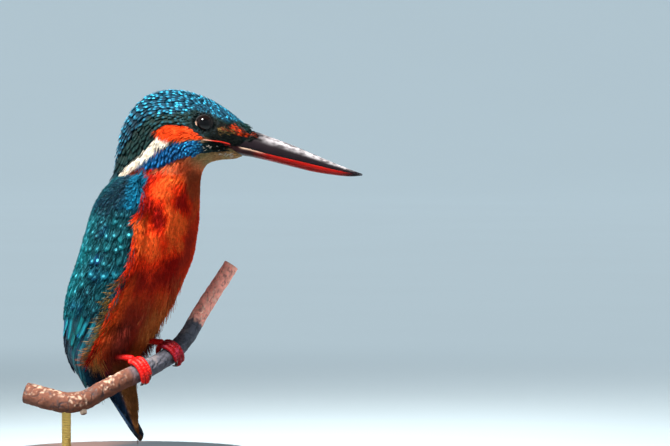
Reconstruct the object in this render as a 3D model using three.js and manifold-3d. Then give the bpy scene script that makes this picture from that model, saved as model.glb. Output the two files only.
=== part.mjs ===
// A life-size common kingfisher, a female, perched on a cut length of branch that a rod holds above a
// round base. Millimetres, +Z up, the bird's body faces +X and its left side is +Y. The origin is the
// centre of the base's underside.
import * as THREE from "three";
import { mergeVertices } from "three/addons/utils/BufferGeometryUtils.js";
import Module from "manifold-3d";

const wasm = await Module();
wasm.setup();

// ---- Driving dimensions ----
const GAP = 0.3; // between two pieces that touch
const HEAD_TURN = 20; // degrees that the head is turned to the bird's left
const NECK_AXIS_X = 10.4; // the upright line that the head turns about

// The body's stations from the bill's root to the tail coverts: the back's and the belly's point in the
// bird's middle plane as [x, z], the half width, and how far the widest place lies towards the belly.
const STATIONS = {
  bill_root: { back: [42.3, 114.2], belly: [38.2, 105.4], half: 4.9, low: 0 },
  face: { back: [38.4, 117.3], belly: [35.0, 105.0], half: 7.0, low: 0.04 },
  forehead: { back: [33.4, 121.2], belly: [31.6, 104.7], half: 9.3, low: 0.06 },
  brow: { back: [26.6, 125.1], belly: [29.2, 104.2], half: 11.2, low: 0.08 },
  crown: { back: [18.6, 127.4], belly: [27.6, 103.6], half: 12.5, low: 0.1 },
  hind_crown: { back: [10.0, 127.0], belly: [26.6, 102.9], half: 13.1, low: 0.1 },
  occiput: { back: [3.2, 122.6], belly: [25.9, 102.0], half: 13.2, low: 0.08 },
  nape: { back: [-1.4, 114.8], belly: [25.3, 101.0], half: 12.9, low: 0.05 },
  neck: { back: [-3.4, 106.4], belly: [24.9, 99.6], half: 12.7, low: 0.03 },
  collar: { back: [-4.6, 99.8], belly: [24.5, 97.0], half: 13.0, low: 0.04 },
  shoulder: { back: [-9.0, 91.4], belly: [24.2, 90.8], half: 14.0, low: 0.06 },
  breast: { back: [-12.6, 81.3], belly: [23.2, 81.3], half: 15.3, low: 0.07 },
  chest: { back: [-15.6, 71.4], belly: [20.8, 71.6], half: 15.6, low: 0.07 },
  belly: { back: [-18.0, 61.5], belly: [16.2, 62.0], half: 15.0, low: 0.06 },
  flank: { back: [-19.2, 51.6], belly: [11.1, 52.6], half: 13.4, low: 0.05 },
  thigh: { back: [-19.0, 43.8], belly: [6.2, 45.6], half: 11.7, low: 0.03 },
  vent: { back: [-17.2, 37.4], belly: [2.2, 40.0], half: 9.4, low: 0 },
  rump: { back: [-12.6, 31.8], belly: [1.0, 34.2], half: 6.8, low: 0 },
  undertail: { back: [-5.8, 25.4], belly: [1.5, 28.0], half: 4.7, low: 0 },
  coverts: { back: [-2.2, 20.8], belly: [2.0, 22.2], half: 3.2, low: 0 },
  coverts_end: { back: [0.5, 17.2], belly: [2.4, 17.5], half: 1.7, low: 0 },
};
const BODY_SIDES = 24;
const BODY_RINGS = 42;
const ROUNDNESS = 2.05; // the superellipse power of every body section
const TURN_ENDS = ["nape", "breast"]; // the head's turn fades out between these stations
const CUTS = { head: 7.5, neck: 9.45, torso: 15.35 }; // station counts at which the body is parted

// The bill in the head's own plane: x from the gape to the tip, the ridge's, mouth line's and keel's
// heights and the half width.
const BILL = [
  { x: 26.3, ridge: 111.9, mouth: 111.2, keel: 110.7, half: 10.0 },
  { x: 33.0, ridge: 112.2, mouth: 110.5, keel: 109.0, half: 8.4 },
  { x: 37.6, ridge: 112.5, mouth: 109.3, keel: 106.4, half: 6.0 },
  { x: 42.3, ridge: 113.9, mouth: 108.2, keel: 105.5, half: 4.6 },
  { x: 48.1, ridge: 112.1, mouth: 106.6, keel: 104.2, half: 4.0 },
  { x: 55.0, ridge: 109.6, mouth: 105.0, keel: 102.5, half: 3.3 },
  { x: 61.7, ridge: 106.8, mouth: 103.4, keel: 100.9, half: 2.6 },
  { x: 67.9, ridge: 104.2, mouth: 101.9, keel: 99.9, half: 1.95 },
  { x: 74.1, ridge: 101.7, mouth: 100.6, keel: 99.3, half: 1.2 },
  { x: 78.4, ridge: 100.15, mouth: 99.9, keel: 99.6, half: 0.35 },
];
const BILL_POWER = 0.85; // below 1 the bill's section is fuller than an ellipse
const NOSTRIL = { x: 43.6, y: 4.4, z: 111.9, length: 3.4, height: 0.9, depth: 1.3, tilt: -22 };

// The eyes, and the raised rims round their openings: how far out of the eye's centre, the ring's two
// radii, and how many degrees its face looks ahead.
const EYE = { x: 27.6, y: 8.9, z: 116.8, radius: 3.1 };
const LID = { out: 1.6, ring: 2.75, thick: 0.5, ahead: 8 };

// The outer surface of the folded wings as level circles: height, the circle's centre along x, and its
// radius.
const WING_RINGS = [
  { z: 101.0, x: 11.2, r: 13.0 },
  { z: 98.0, x: 9.9, r: 15.0 },
  { z: 91.2, x: 6.9, r: 17.0 },
  { z: 81.3, x: 4.5, r: 18.3 },
  { z: 71.4, x: 1.7, r: 18.8 },
  { z: 61.5, x: -2.6, r: 18.3 },
  { z: 51.6, x: -5.9, r: 16.9 },
  { z: 45.0, x: -7.9, r: 15.1 },
  { z: 40.0, x: -9.5, r: 13.0 },
  { z: 33.5, x: -11.6, r: 8.2 },
  { z: 28.0, x: -12.5, r: 4.6 },
];
// The folded wing's edges: height, and the bearings of its front and back edge, from 0 ahead to 180
// behind.
const WING_EDGES = [
  { z: 98.5, front: 84, back: 132 },
  { z: 94.0, front: 70, back: 150 },
  { z: 81.3, front: 66, back: 160 },
  { z: 71.4, front: 64, back: 164 },
  { z: 61.5, front: 66, back: 167 },
  { z: 51.6, front: 70, back: 169 },
  { z: 45.0, front: 75, back: 169 },
  { z: 40.0, front: 82, back: 167 },
  { z: 34.5, front: 97, back: 155 },
  { z: 28.5, front: 114, back: 130 },
];
// The wing's core under its feathers, from the shoulder down: height, and the share of the wing's width
// that it leaves free along either edge.
const WING_CORE = [
  { z: 98.0, free: 0.2 },
  { z: 94.0, free: 0.07 },
  { z: 71.4, free: 0.05 },
  { z: 57.0, free: 0.07 },
  { z: 50.0, free: 0.3 },
];
const CORE_TOP = -1.3; // below the wing's outer surface
const CORE_DEEP = 4.0;

// A feather vane's outline, for coverts and for long feathers: shares of its length, with its width
// there as a share of the full one.
const COVERT_OUTLINE = [
  [0, 0.8],
  [0.62, 1],
  [0.9, 0.7],
  [1, 0.3],
];
const LONG_OUTLINE = [
  [0, 0.8],
  [0.42, 1],
  [0.86, 0.9],
  [1, 0.4],
];
const EDGE_SLACK = 0.04; // how far a vane may pass the wing's edge, as a share of the wing's width
const SEED = 7;

// The kinds of feather on the wing: thickness, how far the root and the tip lie above the wing's outer
// surface, and how much a feather sinks for each millimetre across, under its next one. Coverts and
// scapulars reach down into the core.
const COVERT = { thick: 3.5, lift: [-0.8, 0], tilt: 0.08 };
const SCAPULAR = { thick: 3.5, lift: [-0.5, 0.45], tilt: 0.08 };
const FLIGHT = { thick: 0.6, lift: [-0.9, -0.2], tilt: 0.2, half: 2.1 };
// The most that a covert's tip strays, in height and in its place across.
const STRAY = { tip: 0.5, across: 0.017 };

// The wing's coverts in rows from the shoulder down: the height of the tips, how many, each one's
// length, and the row's first and last place across the wing, from 0 at its front edge to 1 at its back
// one.
const COVERT_ROWS = [
  { tip: 87.5, count: 4, length: 8.0, half: 2.9, from: 0.14, to: 0.8 },
  { tip: 81.0, count: 4, length: 8.0, half: 3.5, from: 0.12, to: 0.88 },
  { tip: 74.5, count: 5, length: 8.0, half: 3.3, from: 0.09, to: 0.92 },
  { tip: 68.0, count: 5, length: 8.0, half: 3.3, from: 0.11, to: 0.9 },
  { tip: 61.5, count: 5, length: 8.0, half: 3.3, from: 0.09, to: 0.93 },
  { tip: 54.0, count: 6, length: 9.0, half: 2.8, from: 0.09, to: 0.9 },
];
// The long feathers over the wing's back edge, each with its root and tip as [place across, height].
const SCAPULARS = [
  { root: [0.8, 91], tip: [0.84, 71], half: 2.5 },
  { root: [0.92, 87], tip: [0.96, 63], half: 2.4 },
];
// The flight feathers from the outermost primary, which lies lowest in front, to the innermost tertial:
// the height of the root, and the tip's place across and height.
const FLIGHT_FEATHERS = [
  { root: 57, tip: [0.3, 28.6] },
  { root: 57, tip: [0.45, 30.8] },
  { root: 57, tip: [0.62, 33.3] },
  { root: 57, tip: [0.78, 35.8] },
  { root: 57, tip: [0.86, 38.2] },
  { root: 58, tip: [0.82, 39.8] },
  { root: 58, tip: [0.8, 41.4] },
  { root: 58, tip: [0.84, 42.2] },
  { root: 59, tip: [0.88, 43.0] },
  { root: 60, tip: [0.91, 44.4] },
  { root: 61, tip: [0.93, 46.8] },
  { root: 64, tip: [0.95, 51.0] },
  { root: 68, tip: [0.96, 56.0] },
];

// The tail: its root in the middle plane, its slope from the level, its length, how far the outermost
// pair's tips lie out, by what share they are shorter, and how narrow the fan is at its root. Then each
// feather's half width, thickness, tilt, and how far it lies below its inner neighbour.
const TAIL = { x: -16.9, z: 38.6, slope: -53, length: 34, pairs: 6, spread: 2.5, shorter: 0.06, root: 0.5 };
const TAIL_FEATHER = { half: 2.0, thick: 0.6, tilt: 0.02, step: 0.2, first: 0.4 };

// The branch's centre line from its left cut end to its right one, and its radius there.
const PERCH = [
  { at: [-19.8, -33.0, 28.9], r: 3.4 },
  { at: [-12.7, -31.5, 27.1], r: 3.5 },
  { at: [-6.1, -29.0, 25.9], r: 3.4 },
  { at: [-2.2, -25.8, 26.7], r: 3.2 },
  { at: [1.0, -20.0, 29.5], r: 3.0 },
  { at: [5.3, -12.5, 33.0], r: 3.0 },
  { at: [8.9, -7.0, 35.5], r: 3.0 },
  { at: [10.8, 0.5, 38.0], r: 2.95 },
  { at: [12.4, 7.0, 41.0], r: 2.95 },
  { at: [13.9, 12.0, 45.0], r: 2.9 },
  { at: [17.3, 18.0, 54.7], r: 2.7 },
  { at: [24.3, 25.0, 69.2], r: 2.55 },
];
const RIGHT_FOOT = 5.8; // each foot's place, counted in the points above
const LEFT_FOOT = 7.7;

const PERCH_SIDES = 10;
const PERCH_RINGS = 24;

// Broken twigs and buds on the branch: how far along it, the bearing round it, its length and radius.
const KNOBS = [
  { along: 0.25, turn: 170, length: 4.7, r: 1.2 },
  { along: 0.42, turn: 300, length: 3.9, r: 1.0 },
  { along: 0.9, turn: 60, length: 3.5, r: 0.9 },
];

// Where a knob starts from the branch's axis, and its radius at its root and its end as shares.
const KNOB_SHAPE = { root: 1, wide: 1.3, narrow: 0.8 };

// The front toes side by side: place beside the middle toe, bearing round the branch at the claw, and
// radius. The bearing is 0 on the branch's top and grows to its front.
const TOES = {
  inner: { beside: -1.45, end: 108, r: 0.84 },
  middle: { beside: 0, end: 142, r: 0.95 },
  outer: { beside: 1.45, end: 132, r: 0.9 },
};
const TOES_START = -22;
const HIND_TOE = { beside: -0.6, end: -112, r: 0.95 };
// How much a toe narrows, and how far its pads swell and how close together.
const TOE_SHAPE = { taper: 0.12, joint: 0.07, joints: 18 };
// A claw goes on round the branch by this many degrees. Its width, taper and hook are shares of the
// toe's radius.
const CLAW = { turn: 44, wide: 0.78, taper: 0.82, hook: 0.25 };
const TARSUS = { bearing: -8, r: 1.15, waist: 0.18, heelBack: 9.8, heelUp: 0.9, heelIn: 0.6 };

// The stand: the round base and its bevelled edge, and the rod, which meets the branch this far along it.
const STAND = { radius: 44, height: 8, edge: 1.2, rodRadius: 1.5, rodAlong: 0.17 };

// ---- Building blocks ----
const radians = THREE.MathUtils.degToRad;
const mix = THREE.MathUtils.lerp;
const SIDES = [-1, 1]; // the bird's right and left

// A smooth curve through a list of numbers at a place counted in entries (Catmull-Rom).
function through(list, at) {
  const last = list.length - 1;
  const i = Math.min(Math.max(Math.floor(at), 0), last - 1);
  const t = Math.min(Math.max(at, 0), last) - i;
  const [a, b, c, d] = [list[Math.max(i - 1, 0)], list[i], list[i + 1], list[Math.min(i + 2, last)]];
  return b + 0.5 * t * (c - a + t * (2 * a - 5 * b + 4 * c - d + t * (3 * (b - c) + d - a)));
}

// The value of a key in rows that are sorted by another key, on straight lines between the rows.
function look(rows, key, by, value) {
  const falling = rows[0][by] > rows[rows.length - 1][by];
  const i = rows.findIndex((row) => (falling ? row[by] <= value : row[by] >= value));
  if (i === 0) return rows[0][key];
  if (i < 0) return rows[rows.length - 1][key];
  const [a, b] = [rows[i - 1], rows[i]];
  return mix(a[key], b[key], (value - a[by]) / (b[by] - a[by]));
}

// A geometry as a closed solid that faces out.
function solid(geometry) {
  const bare = geometry.clone();
  for (const name of Object.keys(bare.attributes)) {
    if (name !== "position") bare.deleteAttribute(name);
  }
  const merged = mergeVertices(bare, 1e-4);
  const vertProperties = merged.attributes.position.array;
  const build = (triVerts) => new wasm.Manifold(new wasm.Mesh({ numProp: 3, vertProperties, triVerts }));
  const faces = new Uint32Array(merged.index.array);
  const made = build(faces);
  return made.volume() > 0 ? made : build(faces.map((_, i) => faces[i - (i % 3) + ((i + (i % 3)) % 3)]));
}

// A closed tube of unit length and radius, bent so that each of its points goes where place(along,
// bearing, out) says.
function bent(sides, rings, place) {
  const shape = new THREE.CylinderGeometry(1, 1, 1, sides, rings);
  const points = shape.attributes.position;
  for (let i = 0; i < points.count; i++) {
    const [x, y, z] = [points.getX(i), points.getY(i), points.getZ(i)];
    points.setXYZ(i, ...place(y + 0.5, Math.atan2(z, x), Math.hypot(x, z)));
  }
  return solid(shape);
}

function joined(solids) {
  return solids.reduce((all, one) => all.add(one));
}

// A repeatable stream of chance numbers from 0 to 1 (mulberry32).
function seeded(seed) {
  let state = seed;
  return () => {
    state = (state + 0x6d2b79f5) | 0;
    let mixed = Math.imul(state ^ (state >>> 15), 1 | state);
    mixed = (mixed + Math.imul(mixed ^ (mixed >>> 7), 61 | mixed)) ^ mixed;
    return ((mixed ^ (mixed >>> 14)) >>> 0) / 4294967296;
  };
}

// ---- The body ----
const stationNames = Object.keys(STATIONS);
const stations = Object.values(STATIONS);
const column = (pick) => stations.map(pick);
const curves = {
  backX: column((s) => s.back[0]),
  backZ: column((s) => s.back[1]),
  bellyX: column((s) => s.belly[0]),
  bellyZ: column((s) => s.belly[1]),
  half: column((s) => s.half),
  low: column((s) => s.low),
};

// A point in the head's plane, turned with the head by a share of its full turn.
function turned([x, y, z], share = 1) {
  const angle = radians(HEAD_TURN * share);
  const [dx, cos, sin] = [x - NECK_AXIS_X, Math.cos(angle), Math.sin(angle)];
  return [NECK_AXIS_X + dx * cos - y * sin, dx * sin + y * cos, z];
}

function turnShare(at) {
  const [from, to] = TURN_ENDS.map((name) => stationNames.indexOf(name));
  return 1 - THREE.MathUtils.smoothstep(at, from, to);
}

// The section at a station count: its centre, half depth towards the back, half width, and the normal
// of its plane.
function section(at) {
  const [bx, bz] = [through(curves.backX, at), through(curves.backZ, at)];
  const [vx, vz] = [through(curves.bellyX, at), through(curves.bellyZ, at)];
  const depth = Math.hypot(bx - vx, bz - vz) / 2;
  const up = [(bx - vx) / 2 / depth, (bz - vz) / 2 / depth];
  const [half, low] = [through(curves.half, at), through(curves.low, at)];
  return { x: (bx + vx) / 2, z: (bz + vz) / 2, depth, up, half, low };
}

// A point of the body's surface, or grown outwards from it. Bearing 0 is the back and 180 degrees the
// belly.
function bodyPoint(at, bearing, out = 1, grow = 0, ahead = 0) {
  const s = section(at);
  const [c, n] = [Math.cos(bearing), Math.sin(bearing)];
  const power = 2 / ROUNDNESS;
  const lift = Math.sign(c) * Math.abs(c) ** power * (s.depth + grow) * out;
  const side = Math.sign(n) * Math.abs(n) ** power * (s.half + grow) * out * (1 - s.low * c);
  const place = [s.x + s.up[0] * lift - s.up[1] * ahead, side, s.z + s.up[1] * lift + s.up[0] * ahead];
  return turned(place, turnShare(at));
}

function bodySolid(grow = 0) {
  const last = stations.length - 1;
  return bent(BODY_SIDES, BODY_RINGS, (along, bearing, out) => {
    const ahead = along === 0 ? grow : along === 1 ? -grow : 0;
    return bodyPoint(along * last, bearing, out, grow, -ahead);
  });
}

// The plane of the section at a station count. Its normal points to the tail, or to the bill.
function sectionPlane(at, toTail) {
  const corners = [0, Math.PI / 2, Math.PI].map((bearing) => new THREE.Vector3(...bodyPoint(at, bearing)));
  const plane = new THREE.Plane().setFromCoplanarPoints(...corners);
  const tailSide = plane.distanceToPoint(new THREE.Vector3(...bodyPoint(Math.ceil(at), 0))) > 0;
  return tailSide === toTail ? plane : plane.negate();
}

// The part of a solid on one side of such a plane, half a gap clear of it.
function partBeyond(whole, at, toTail) {
  const plane = sectionPlane(at, toTail);
  return whole.trimByPlane(plane.normal.toArray(), GAP / 2 - plane.constant);
}
const towardsTail = (whole, at) => partBeyond(whole, at, true);
const towardsBill = (whole, at) => partBeyond(whole, at, false);

// ---- The head's pieces ----
// The bill's upper half, its lower half, or both as one solid that is grown by a gap.
function billSolid(upper, lower, grow = 0) {
  const rows = (key) => BILL.map((row) => row[key]);
  const [x, ridge, mouth, keel, half] = ["x", "ridge", "mouth", "keel", "half"].map(rows);
  const slit = upper && lower ? 0 : GAP / 2;
  return bent(14, 14, (along, bearing, out) => {
    const at = (BILL.length - 1) * along;
    const level = through(mouth, at);
    const above = Math.sin(bearing) > 0;
    const reach = above ? through(ridge, at) - level + grow - slit : through(keel, at) - level - grow + slit;
    const full = (above ? upper : lower) ? Math.abs(Math.sin(bearing)) ** BILL_POWER * out : 0;
    const end = along === 0 ? -grow : along === 1 ? grow : 0;
    const z = level + (upper ? slit : -slit) + full * reach;
    return turned([through(x, at) + end, Math.cos(bearing) * (through(half, at) + grow) * out, z]);
  });
}

function eyeBall(side, grow = 0) {
  const ball = new THREE.SphereGeometry(EYE.radius + grow, 14, 9).rotateX(Math.PI / 2);
  return solid(ball.translate(...turned([EYE.x, side * EYE.y, EYE.z])));
}

// The raised rim round an eye's opening.
function eyeLid(side) {
  const ring = new THREE.TorusGeometry(LID.ring, LID.thick, 5, 16).rotateX(Math.PI / 2);
  const yaw = new THREE.Matrix4().makeRotationZ(radians(HEAD_TURN - side * LID.ahead));
  return solid(ring.applyMatrix4(yaw).translate(...turned([EYE.x, side * (EYE.y + LID.out), EYE.z])));
}

// What is cut out of the bill for a nostril.
function nostril(side) {
  const { x, y, z, length, height, depth, tilt } = NOSTRIL;
  const slit = new THREE.SphereGeometry(1, 10, 6).scale(length / 2, depth, height / 2);
  slit.rotateY(radians(-tilt)).rotateZ(radians(HEAD_TURN));
  return solid(slit.translate(...turned([x, side * y, z])));
}

// ---- The wings ----
// A point on the wings' outer surface, or lifted from it. The bearing runs from 0 ahead to 180 behind.
function wingPoint(side, bearing, z, lift = 0) {
  const [x, r] = [look(WING_RINGS, "x", "z", z), look(WING_RINGS, "r", "z", z) + lift];
  return [x + r * Math.cos(radians(bearing)), side * r * Math.sin(radians(bearing)), z];
}

// The same by the place across the wing, from 0 at its front edge to 1 at its back one, moved across by
// a distance.
function onWing(side, across, z, lift = 0, beside = 0) {
  const [front, back] = [look(WING_EDGES, "front", "z", z), look(WING_EDGES, "back", "z", z)];
  const turn = THREE.MathUtils.radToDeg(beside / look(WING_RINGS, "r", "z", z));
  const slack = EDGE_SLACK * (back - front);
  const bearing = THREE.MathUtils.clamp(mix(front, back, across) + turn, front - slack, back + slack);
  return wingPoint(side, bearing, z, lift);
}

// The wing's smooth core, before it is cut clear of the body.
function wingCore(side) {
  const last = WING_CORE.length - 1;
  return bent(10, 8, (along, bearing, out) => {
    const z = mix(WING_CORE[0].z, WING_CORE[last].z, along);
    const free = look(WING_CORE, "free", "z", z);
    const across = mix(free, 1 - free, (Math.cos(bearing) * out + 1) / 2);
    return onWing(side, across, z, CORE_TOP - (CORE_DEEP / 2) * (1 - Math.sin(bearing) * out));
  });
}

// A feather: a closed strip of four-sided rings whose middle follows place(share, beside, lift).
function vane(outline, half, kind, place) {
  return bent(4, outline.length - 1, (along, bearing, out) => {
    const [share, wide] = outline[Math.round(along * (outline.length - 1))];
    const corner = bearing + Math.PI / 4;
    const beside = Math.sign(Math.cos(corner)) * half * wide * out;
    const down = (kind.thick / 2) * (Math.sign(Math.sin(corner)) * out - 1);
    return place(share, beside, down - kind.tilt * beside);
  });
}

// A vane on the wing from its root to its tip, both given as [place across, height].
function wingVane(side, outline, root, tip, half, kind) {
  return vane(outline, half, kind, (share, beside, rise) => {
    const [across, z] = [mix(root[0], tip[0], share), mix(root[1], tip[1], share)];
    return onWing(side, across, z, rise + mix(kind.lift[0], kind.lift[1], share), beside);
  });
}

// Both wings take their coverts' chance strays from one seed, so that they match.
function covertVanes(side) {
  const random = seeded(SEED);
  const stray = () => random() * 2 - 1;
  return COVERT_ROWS.flatMap(({ tip, count, length, half, from, to }) =>
    Array.from({ length: count }, (_, i) => {
      const across = mix(from, to, i / (count - 1));
      const end = [across + stray() * STRAY.across, tip + stray() * STRAY.tip];
      return wingVane(side, COVERT_OUTLINE, [across, tip + length], end, half, COVERT);
    }),
  );
}

function flightVanes(side) {
  return FLIGHT_FEATHERS.map(({ root, tip }, i) => {
    const across = (i + 0.5) / FLIGHT_FEATHERS.length;
    return wingVane(side, LONG_OUTLINE, [across, root], tip, FLIGHT.half, FLIGHT);
  });
}

function scapularVanes(side) {
  return SCAPULARS.map(({ root, tip, half }) => wingVane(side, LONG_OUTLINE, root, tip, half, SCAPULAR));
}

function wing(side) {
  return joined([wingCore(side), ...covertVanes(side), ...flightVanes(side), ...scapularVanes(side)]);
}

// ---- The tail ----
const tailAlong = [Math.cos(radians(TAIL.slope)), Math.sin(radians(TAIL.slope))];
const tailUp = [-tailAlong[1], tailAlong[0]];

// A point of the tail: along its length, across it, and lifted towards its upper side.
function tailPoint(length, across, lift) {
  const x = TAIL.x + tailAlong[0] * length - tailUp[0] * lift;
  return [x, across, TAIL.z + tailAlong[1] * length - tailUp[1] * lift];
}

// Six pairs of tail feathers, the middle pair uppermost and longest, each next one a step lower and
// further out.
function tailVanes() {
  const { half, first, step } = TAIL_FEATHER;
  const feather = (side, i) => {
    const outward = (i + first) / TAIL.pairs;
    const length = TAIL.length * (1 - TAIL.shorter * outward ** 2);
    const kind = { ...TAIL_FEATHER, tilt: side * TAIL_FEATHER.tilt };
    return vane(LONG_OUTLINE, half, kind, (share, beside, rise) => {
      const across = side * outward * TAIL.spread * mix(TAIL.root, 1, share) + beside;
      return tailPoint(share * length, across, rise - i * step);
    });
  };
  return joined(SIDES.flatMap((side) => Array.from({ length: TAIL.pairs }, (_, i) => feather(side, i))));
}

// ---- The branch and the feet ----
const perchLine = new THREE.CatmullRomCurve3(PERCH.map((p) => new THREE.Vector3(...p.at)));
const perchRadii = PERCH.map((p) => p.r);
const perchFrames = perchLine.computeFrenetFrames(PERCH_RINGS);

// The branch's centre, axis and radius at a place that runs from 0 to 1 evenly over its points.
function perchAt(along) {
  return {
    centre: perchLine.getPoint(along),
    axis: perchLine.getTangent(along),
    radius: through(perchRadii, along * (PERCH.length - 1)),
  };
}

// The directions across the branch at such a place: up and ahead.
function perchCross(along) {
  const { axis } = perchAt(along);
  const up = new THREE.Vector3(0, 0, 1).addScaledVector(axis, -axis.z).normalize();
  return { up, ahead: new THREE.Vector3().crossVectors(axis, up).normalize() };
}

// A point beside the branch: along it, at a bearing from its top towards its front, out from its axis.
function byPerch(along, bearing, out, shift = 0) {
  const { centre, axis } = perchAt(along);
  const { up, ahead } = perchCross(along);
  return centre
    .clone()
    .addScaledVector(up, Math.cos(bearing) * out)
    .addScaledVector(ahead, Math.sin(bearing) * out)
    .addScaledVector(axis, shift);
}

function perchSolid() {
  const stem = bent(PERCH_SIDES, PERCH_RINGS, (along, bearing, out) => {
    const i = Math.round(along * PERCH_RINGS);
    const { centre, radius } = perchAt(along);
    const [a, b] = [perchFrames.normals[i], perchFrames.binormals[i]];
    const point = centre.clone().addScaledVector(a, Math.cos(bearing) * radius * out);
    return point.addScaledVector(b, Math.sin(bearing) * radius * out).toArray();
  });
  const knobs = KNOBS.map((knob) =>
    bent(8, 3, (along, bearing, out) => {
      const turn = radians(knob.turn);
      const { up, ahead } = perchCross(knob.along);
      const { centre, axis } = perchAt(knob.along);
      const outward = up.clone().multiplyScalar(Math.cos(turn)).addScaledVector(ahead, Math.sin(turn));
      const beside = new THREE.Vector3().crossVectors(axis, outward);
      const reach = mix(KNOB_SHAPE.root, knob.length, along);
      const r = knob.r * out * mix(KNOB_SHAPE.wide, KNOB_SHAPE.narrow, along);
      const point = centre.clone().addScaledVector(outward, reach);
      point.addScaledVector(axis, Math.cos(bearing) * r).addScaledVector(beside, Math.sin(bearing) * r);
      return point.toArray();
    }),
  );
  return joined([stem, ...knobs]);
}

// A tube that follows path(t), t from 0 to 1, with radius(t).
function tube(path, radius, sides, rings) {
  const places = Array.from({ length: rings + 1 }, (_, i) => path(i / rings));
  const axis = (i) =>
    new THREE.Vector3().subVectors(places[Math.min(i + 1, rings)], places[Math.max(i - 1, 0)]).normalize();
  let beside = new THREE.Vector3(0.31, 0.87, 0.38).cross(axis(0)).normalize();
  const frames = places.map((_, i) => {
    const t = axis(i);
    beside = beside.clone().addScaledVector(t, -beside.dot(t)).normalize();
    return [beside, new THREE.Vector3().crossVectors(t, beside)];
  });
  return bent(sides, rings, (along, bearing, out) => {
    const i = Math.round(along * rings);
    const r = radius(along) * out;
    const point = places[i].clone().addScaledVector(frames[i][0], Math.cos(bearing) * r);
    return point.addScaledVector(frames[i][1], Math.sin(bearing) * r).toArray();
  });
}

// One toe round the branch from one bearing to another in degrees, a distance beside the foot's middle.
function toe(along, from, to, beside, r, grow = 0) {
  const out = perchAt(along).radius + GAP + r;
  const { taper, joint, joints } = TOE_SHAPE;
  return tube(
    (t) => byPerch(along, radians(mix(from, to, t)), out, beside),
    (t) => r * (1 - taper * t + joint * Math.cos(joints * t)) + grow,
    6,
    8,
  );
}

// The claw that carries a toe on round the branch from the bearing where the toe ends.
function claw(along, from, beside, r) {
  const radius = perchAt(along).radius;
  const gap = THREE.MathUtils.radToDeg(GAP / (radius + r));
  const bearing = (t) => radians(from + Math.sign(from) * mix(gap, CLAW.turn, t));
  return tube(
    (t) => byPerch(along, bearing(t), radius + GAP + r * (1 - CLAW.hook * t), beside),
    (t) => r * CLAW.wide * (1 - CLAW.taper * t),
    7,
    6,
  );
}

function foot(side) {
  const along = (side < 0 ? RIGHT_FOOT : LEFT_FOOT) / (PERCH.length - 1);
  const name = side < 0 ? "right" : "left";
  const fronts = Object.entries(TOES).map(([id, one]) => ({ ...one, id, beside: side * one.beside }));
  const hindBeside = side * HIND_TOE.beside;
  const front = ({ end, beside, r }, grow) => toe(along, TOES_START, end, beside, r, grow);
  const toes = (grow) => joined(fronts.map((one) => front(one, grow)));
  const hindStart = TOES_START - THREE.MathUtils.radToDeg(GAP / (perchAt(along).radius + HIND_TOE.r));
  const hind = (grow) => toe(along, hindStart, HIND_TOE.end, hindBeside, HIND_TOE.r, grow);
  const claws = fronts.map(({ id, end, beside, r }) => [`claw_${id}_${name}`, claw(along, end, beside, r)]);
  claws.push([`claw_hind_${name}`, claw(along, HIND_TOE.end, hindBeside, HIND_TOE.r)]);
  const hub = byPerch(along, radians(TARSUS.bearing), perchAt(along).radius + GAP + TOES.middle.r * 1.5);
  const heel = hub.clone().add(new THREE.Vector3(-TARSUS.heelBack, -side * TARSUS.heelIn, TARSUS.heelUp));
  const shank = tube(
    (t) => hub.clone().lerp(heel, t),
    (t) => TARSUS.r * (1 - TARSUS.waist * Math.sin(Math.PI * t)),
    9,
    6,
  );
  return { name, toes: toes(0), hind: hind(0), claws, shank: shank.subtract(toes(GAP)).subtract(hind(GAP)) };
}

// ---- The stand ----
function standBase() {
  const { radius, height, edge } = STAND;
  const profile = [
    [0, 0],
    [radius, 0],
    [radius, height - edge],
    [radius - edge, height],
    [0, height],
  ].map(([r, z]) => new THREE.Vector2(r, z));
  return solid(new THREE.LatheGeometry(profile, 48).rotateX(Math.PI / 2));
}

function standRod() {
  const { centre } = perchAt(STAND.rodAlong);
  const length = centre.z - STAND.height - GAP;
  const rod = new THREE.CylinderGeometry(STAND.rodRadius, STAND.rodRadius, length, 20).rotateX(Math.PI / 2);
  return solid(rod.translate(centre.x, centre.y, STAND.height + GAP + length / 2));
}

// The branch with room for the rod's end, and the gap round it.
function perchCutter() {
  const { centre } = perchAt(STAND.rodAlong);
  const wide = STAND.rodRadius + GAP;
  const rod = new THREE.CylinderGeometry(wide, wide, centre.z, 20).rotateX(Math.PI / 2);
  return solid(rod.translate(centre.x, centre.y, centre.z / 2 + GAP));
}

// ---- Putting it together ----
const FINISH = {
  plumage: { color: 0x0f6f80, roughness: 0.6 },
  orange: { color: 0xd9531e, roughness: 0.8 },
  bill_black: { color: 0x1c1a1e, roughness: 0.35 },
  bill_red: { color: 0xb5321f, roughness: 0.35 },
  eye: { color: 0x120c0a, roughness: 0.05 },
  skin: { color: 0xc8281c, roughness: 0.5 },
  claw: { color: 0x1a1414, roughness: 0.4 },
  bark: { color: 0x8a6a58, roughness: 0.9 },
  walnut: { color: 0x5a3a24, roughness: 0.5 },
  brass: { color: 0xb08d4a, roughness: 0.3, metalness: 1 },
};

const model = new THREE.Group();

// Adds a named mesh that holds a solid's largest closed body.
function addNode(name, made, finish) {
  const body = made.decompose().reduce((best, one) => (one.volume() > best.volume() ? one : best));
  const mesh = body.getMesh();
  const geometry = new THREE.BufferGeometry();
  geometry.setAttribute("position", new THREE.Float32BufferAttribute(mesh.vertProperties, 3));
  geometry.setIndex(new THREE.Uint32BufferAttribute(mesh.triVerts, 1));
  geometry.computeVertexNormals();
  const placed = new THREE.Mesh(geometry, new THREE.MeshStandardMaterial(FINISH[finish]));
  placed.name = name;
  model.add(placed);
}

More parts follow.
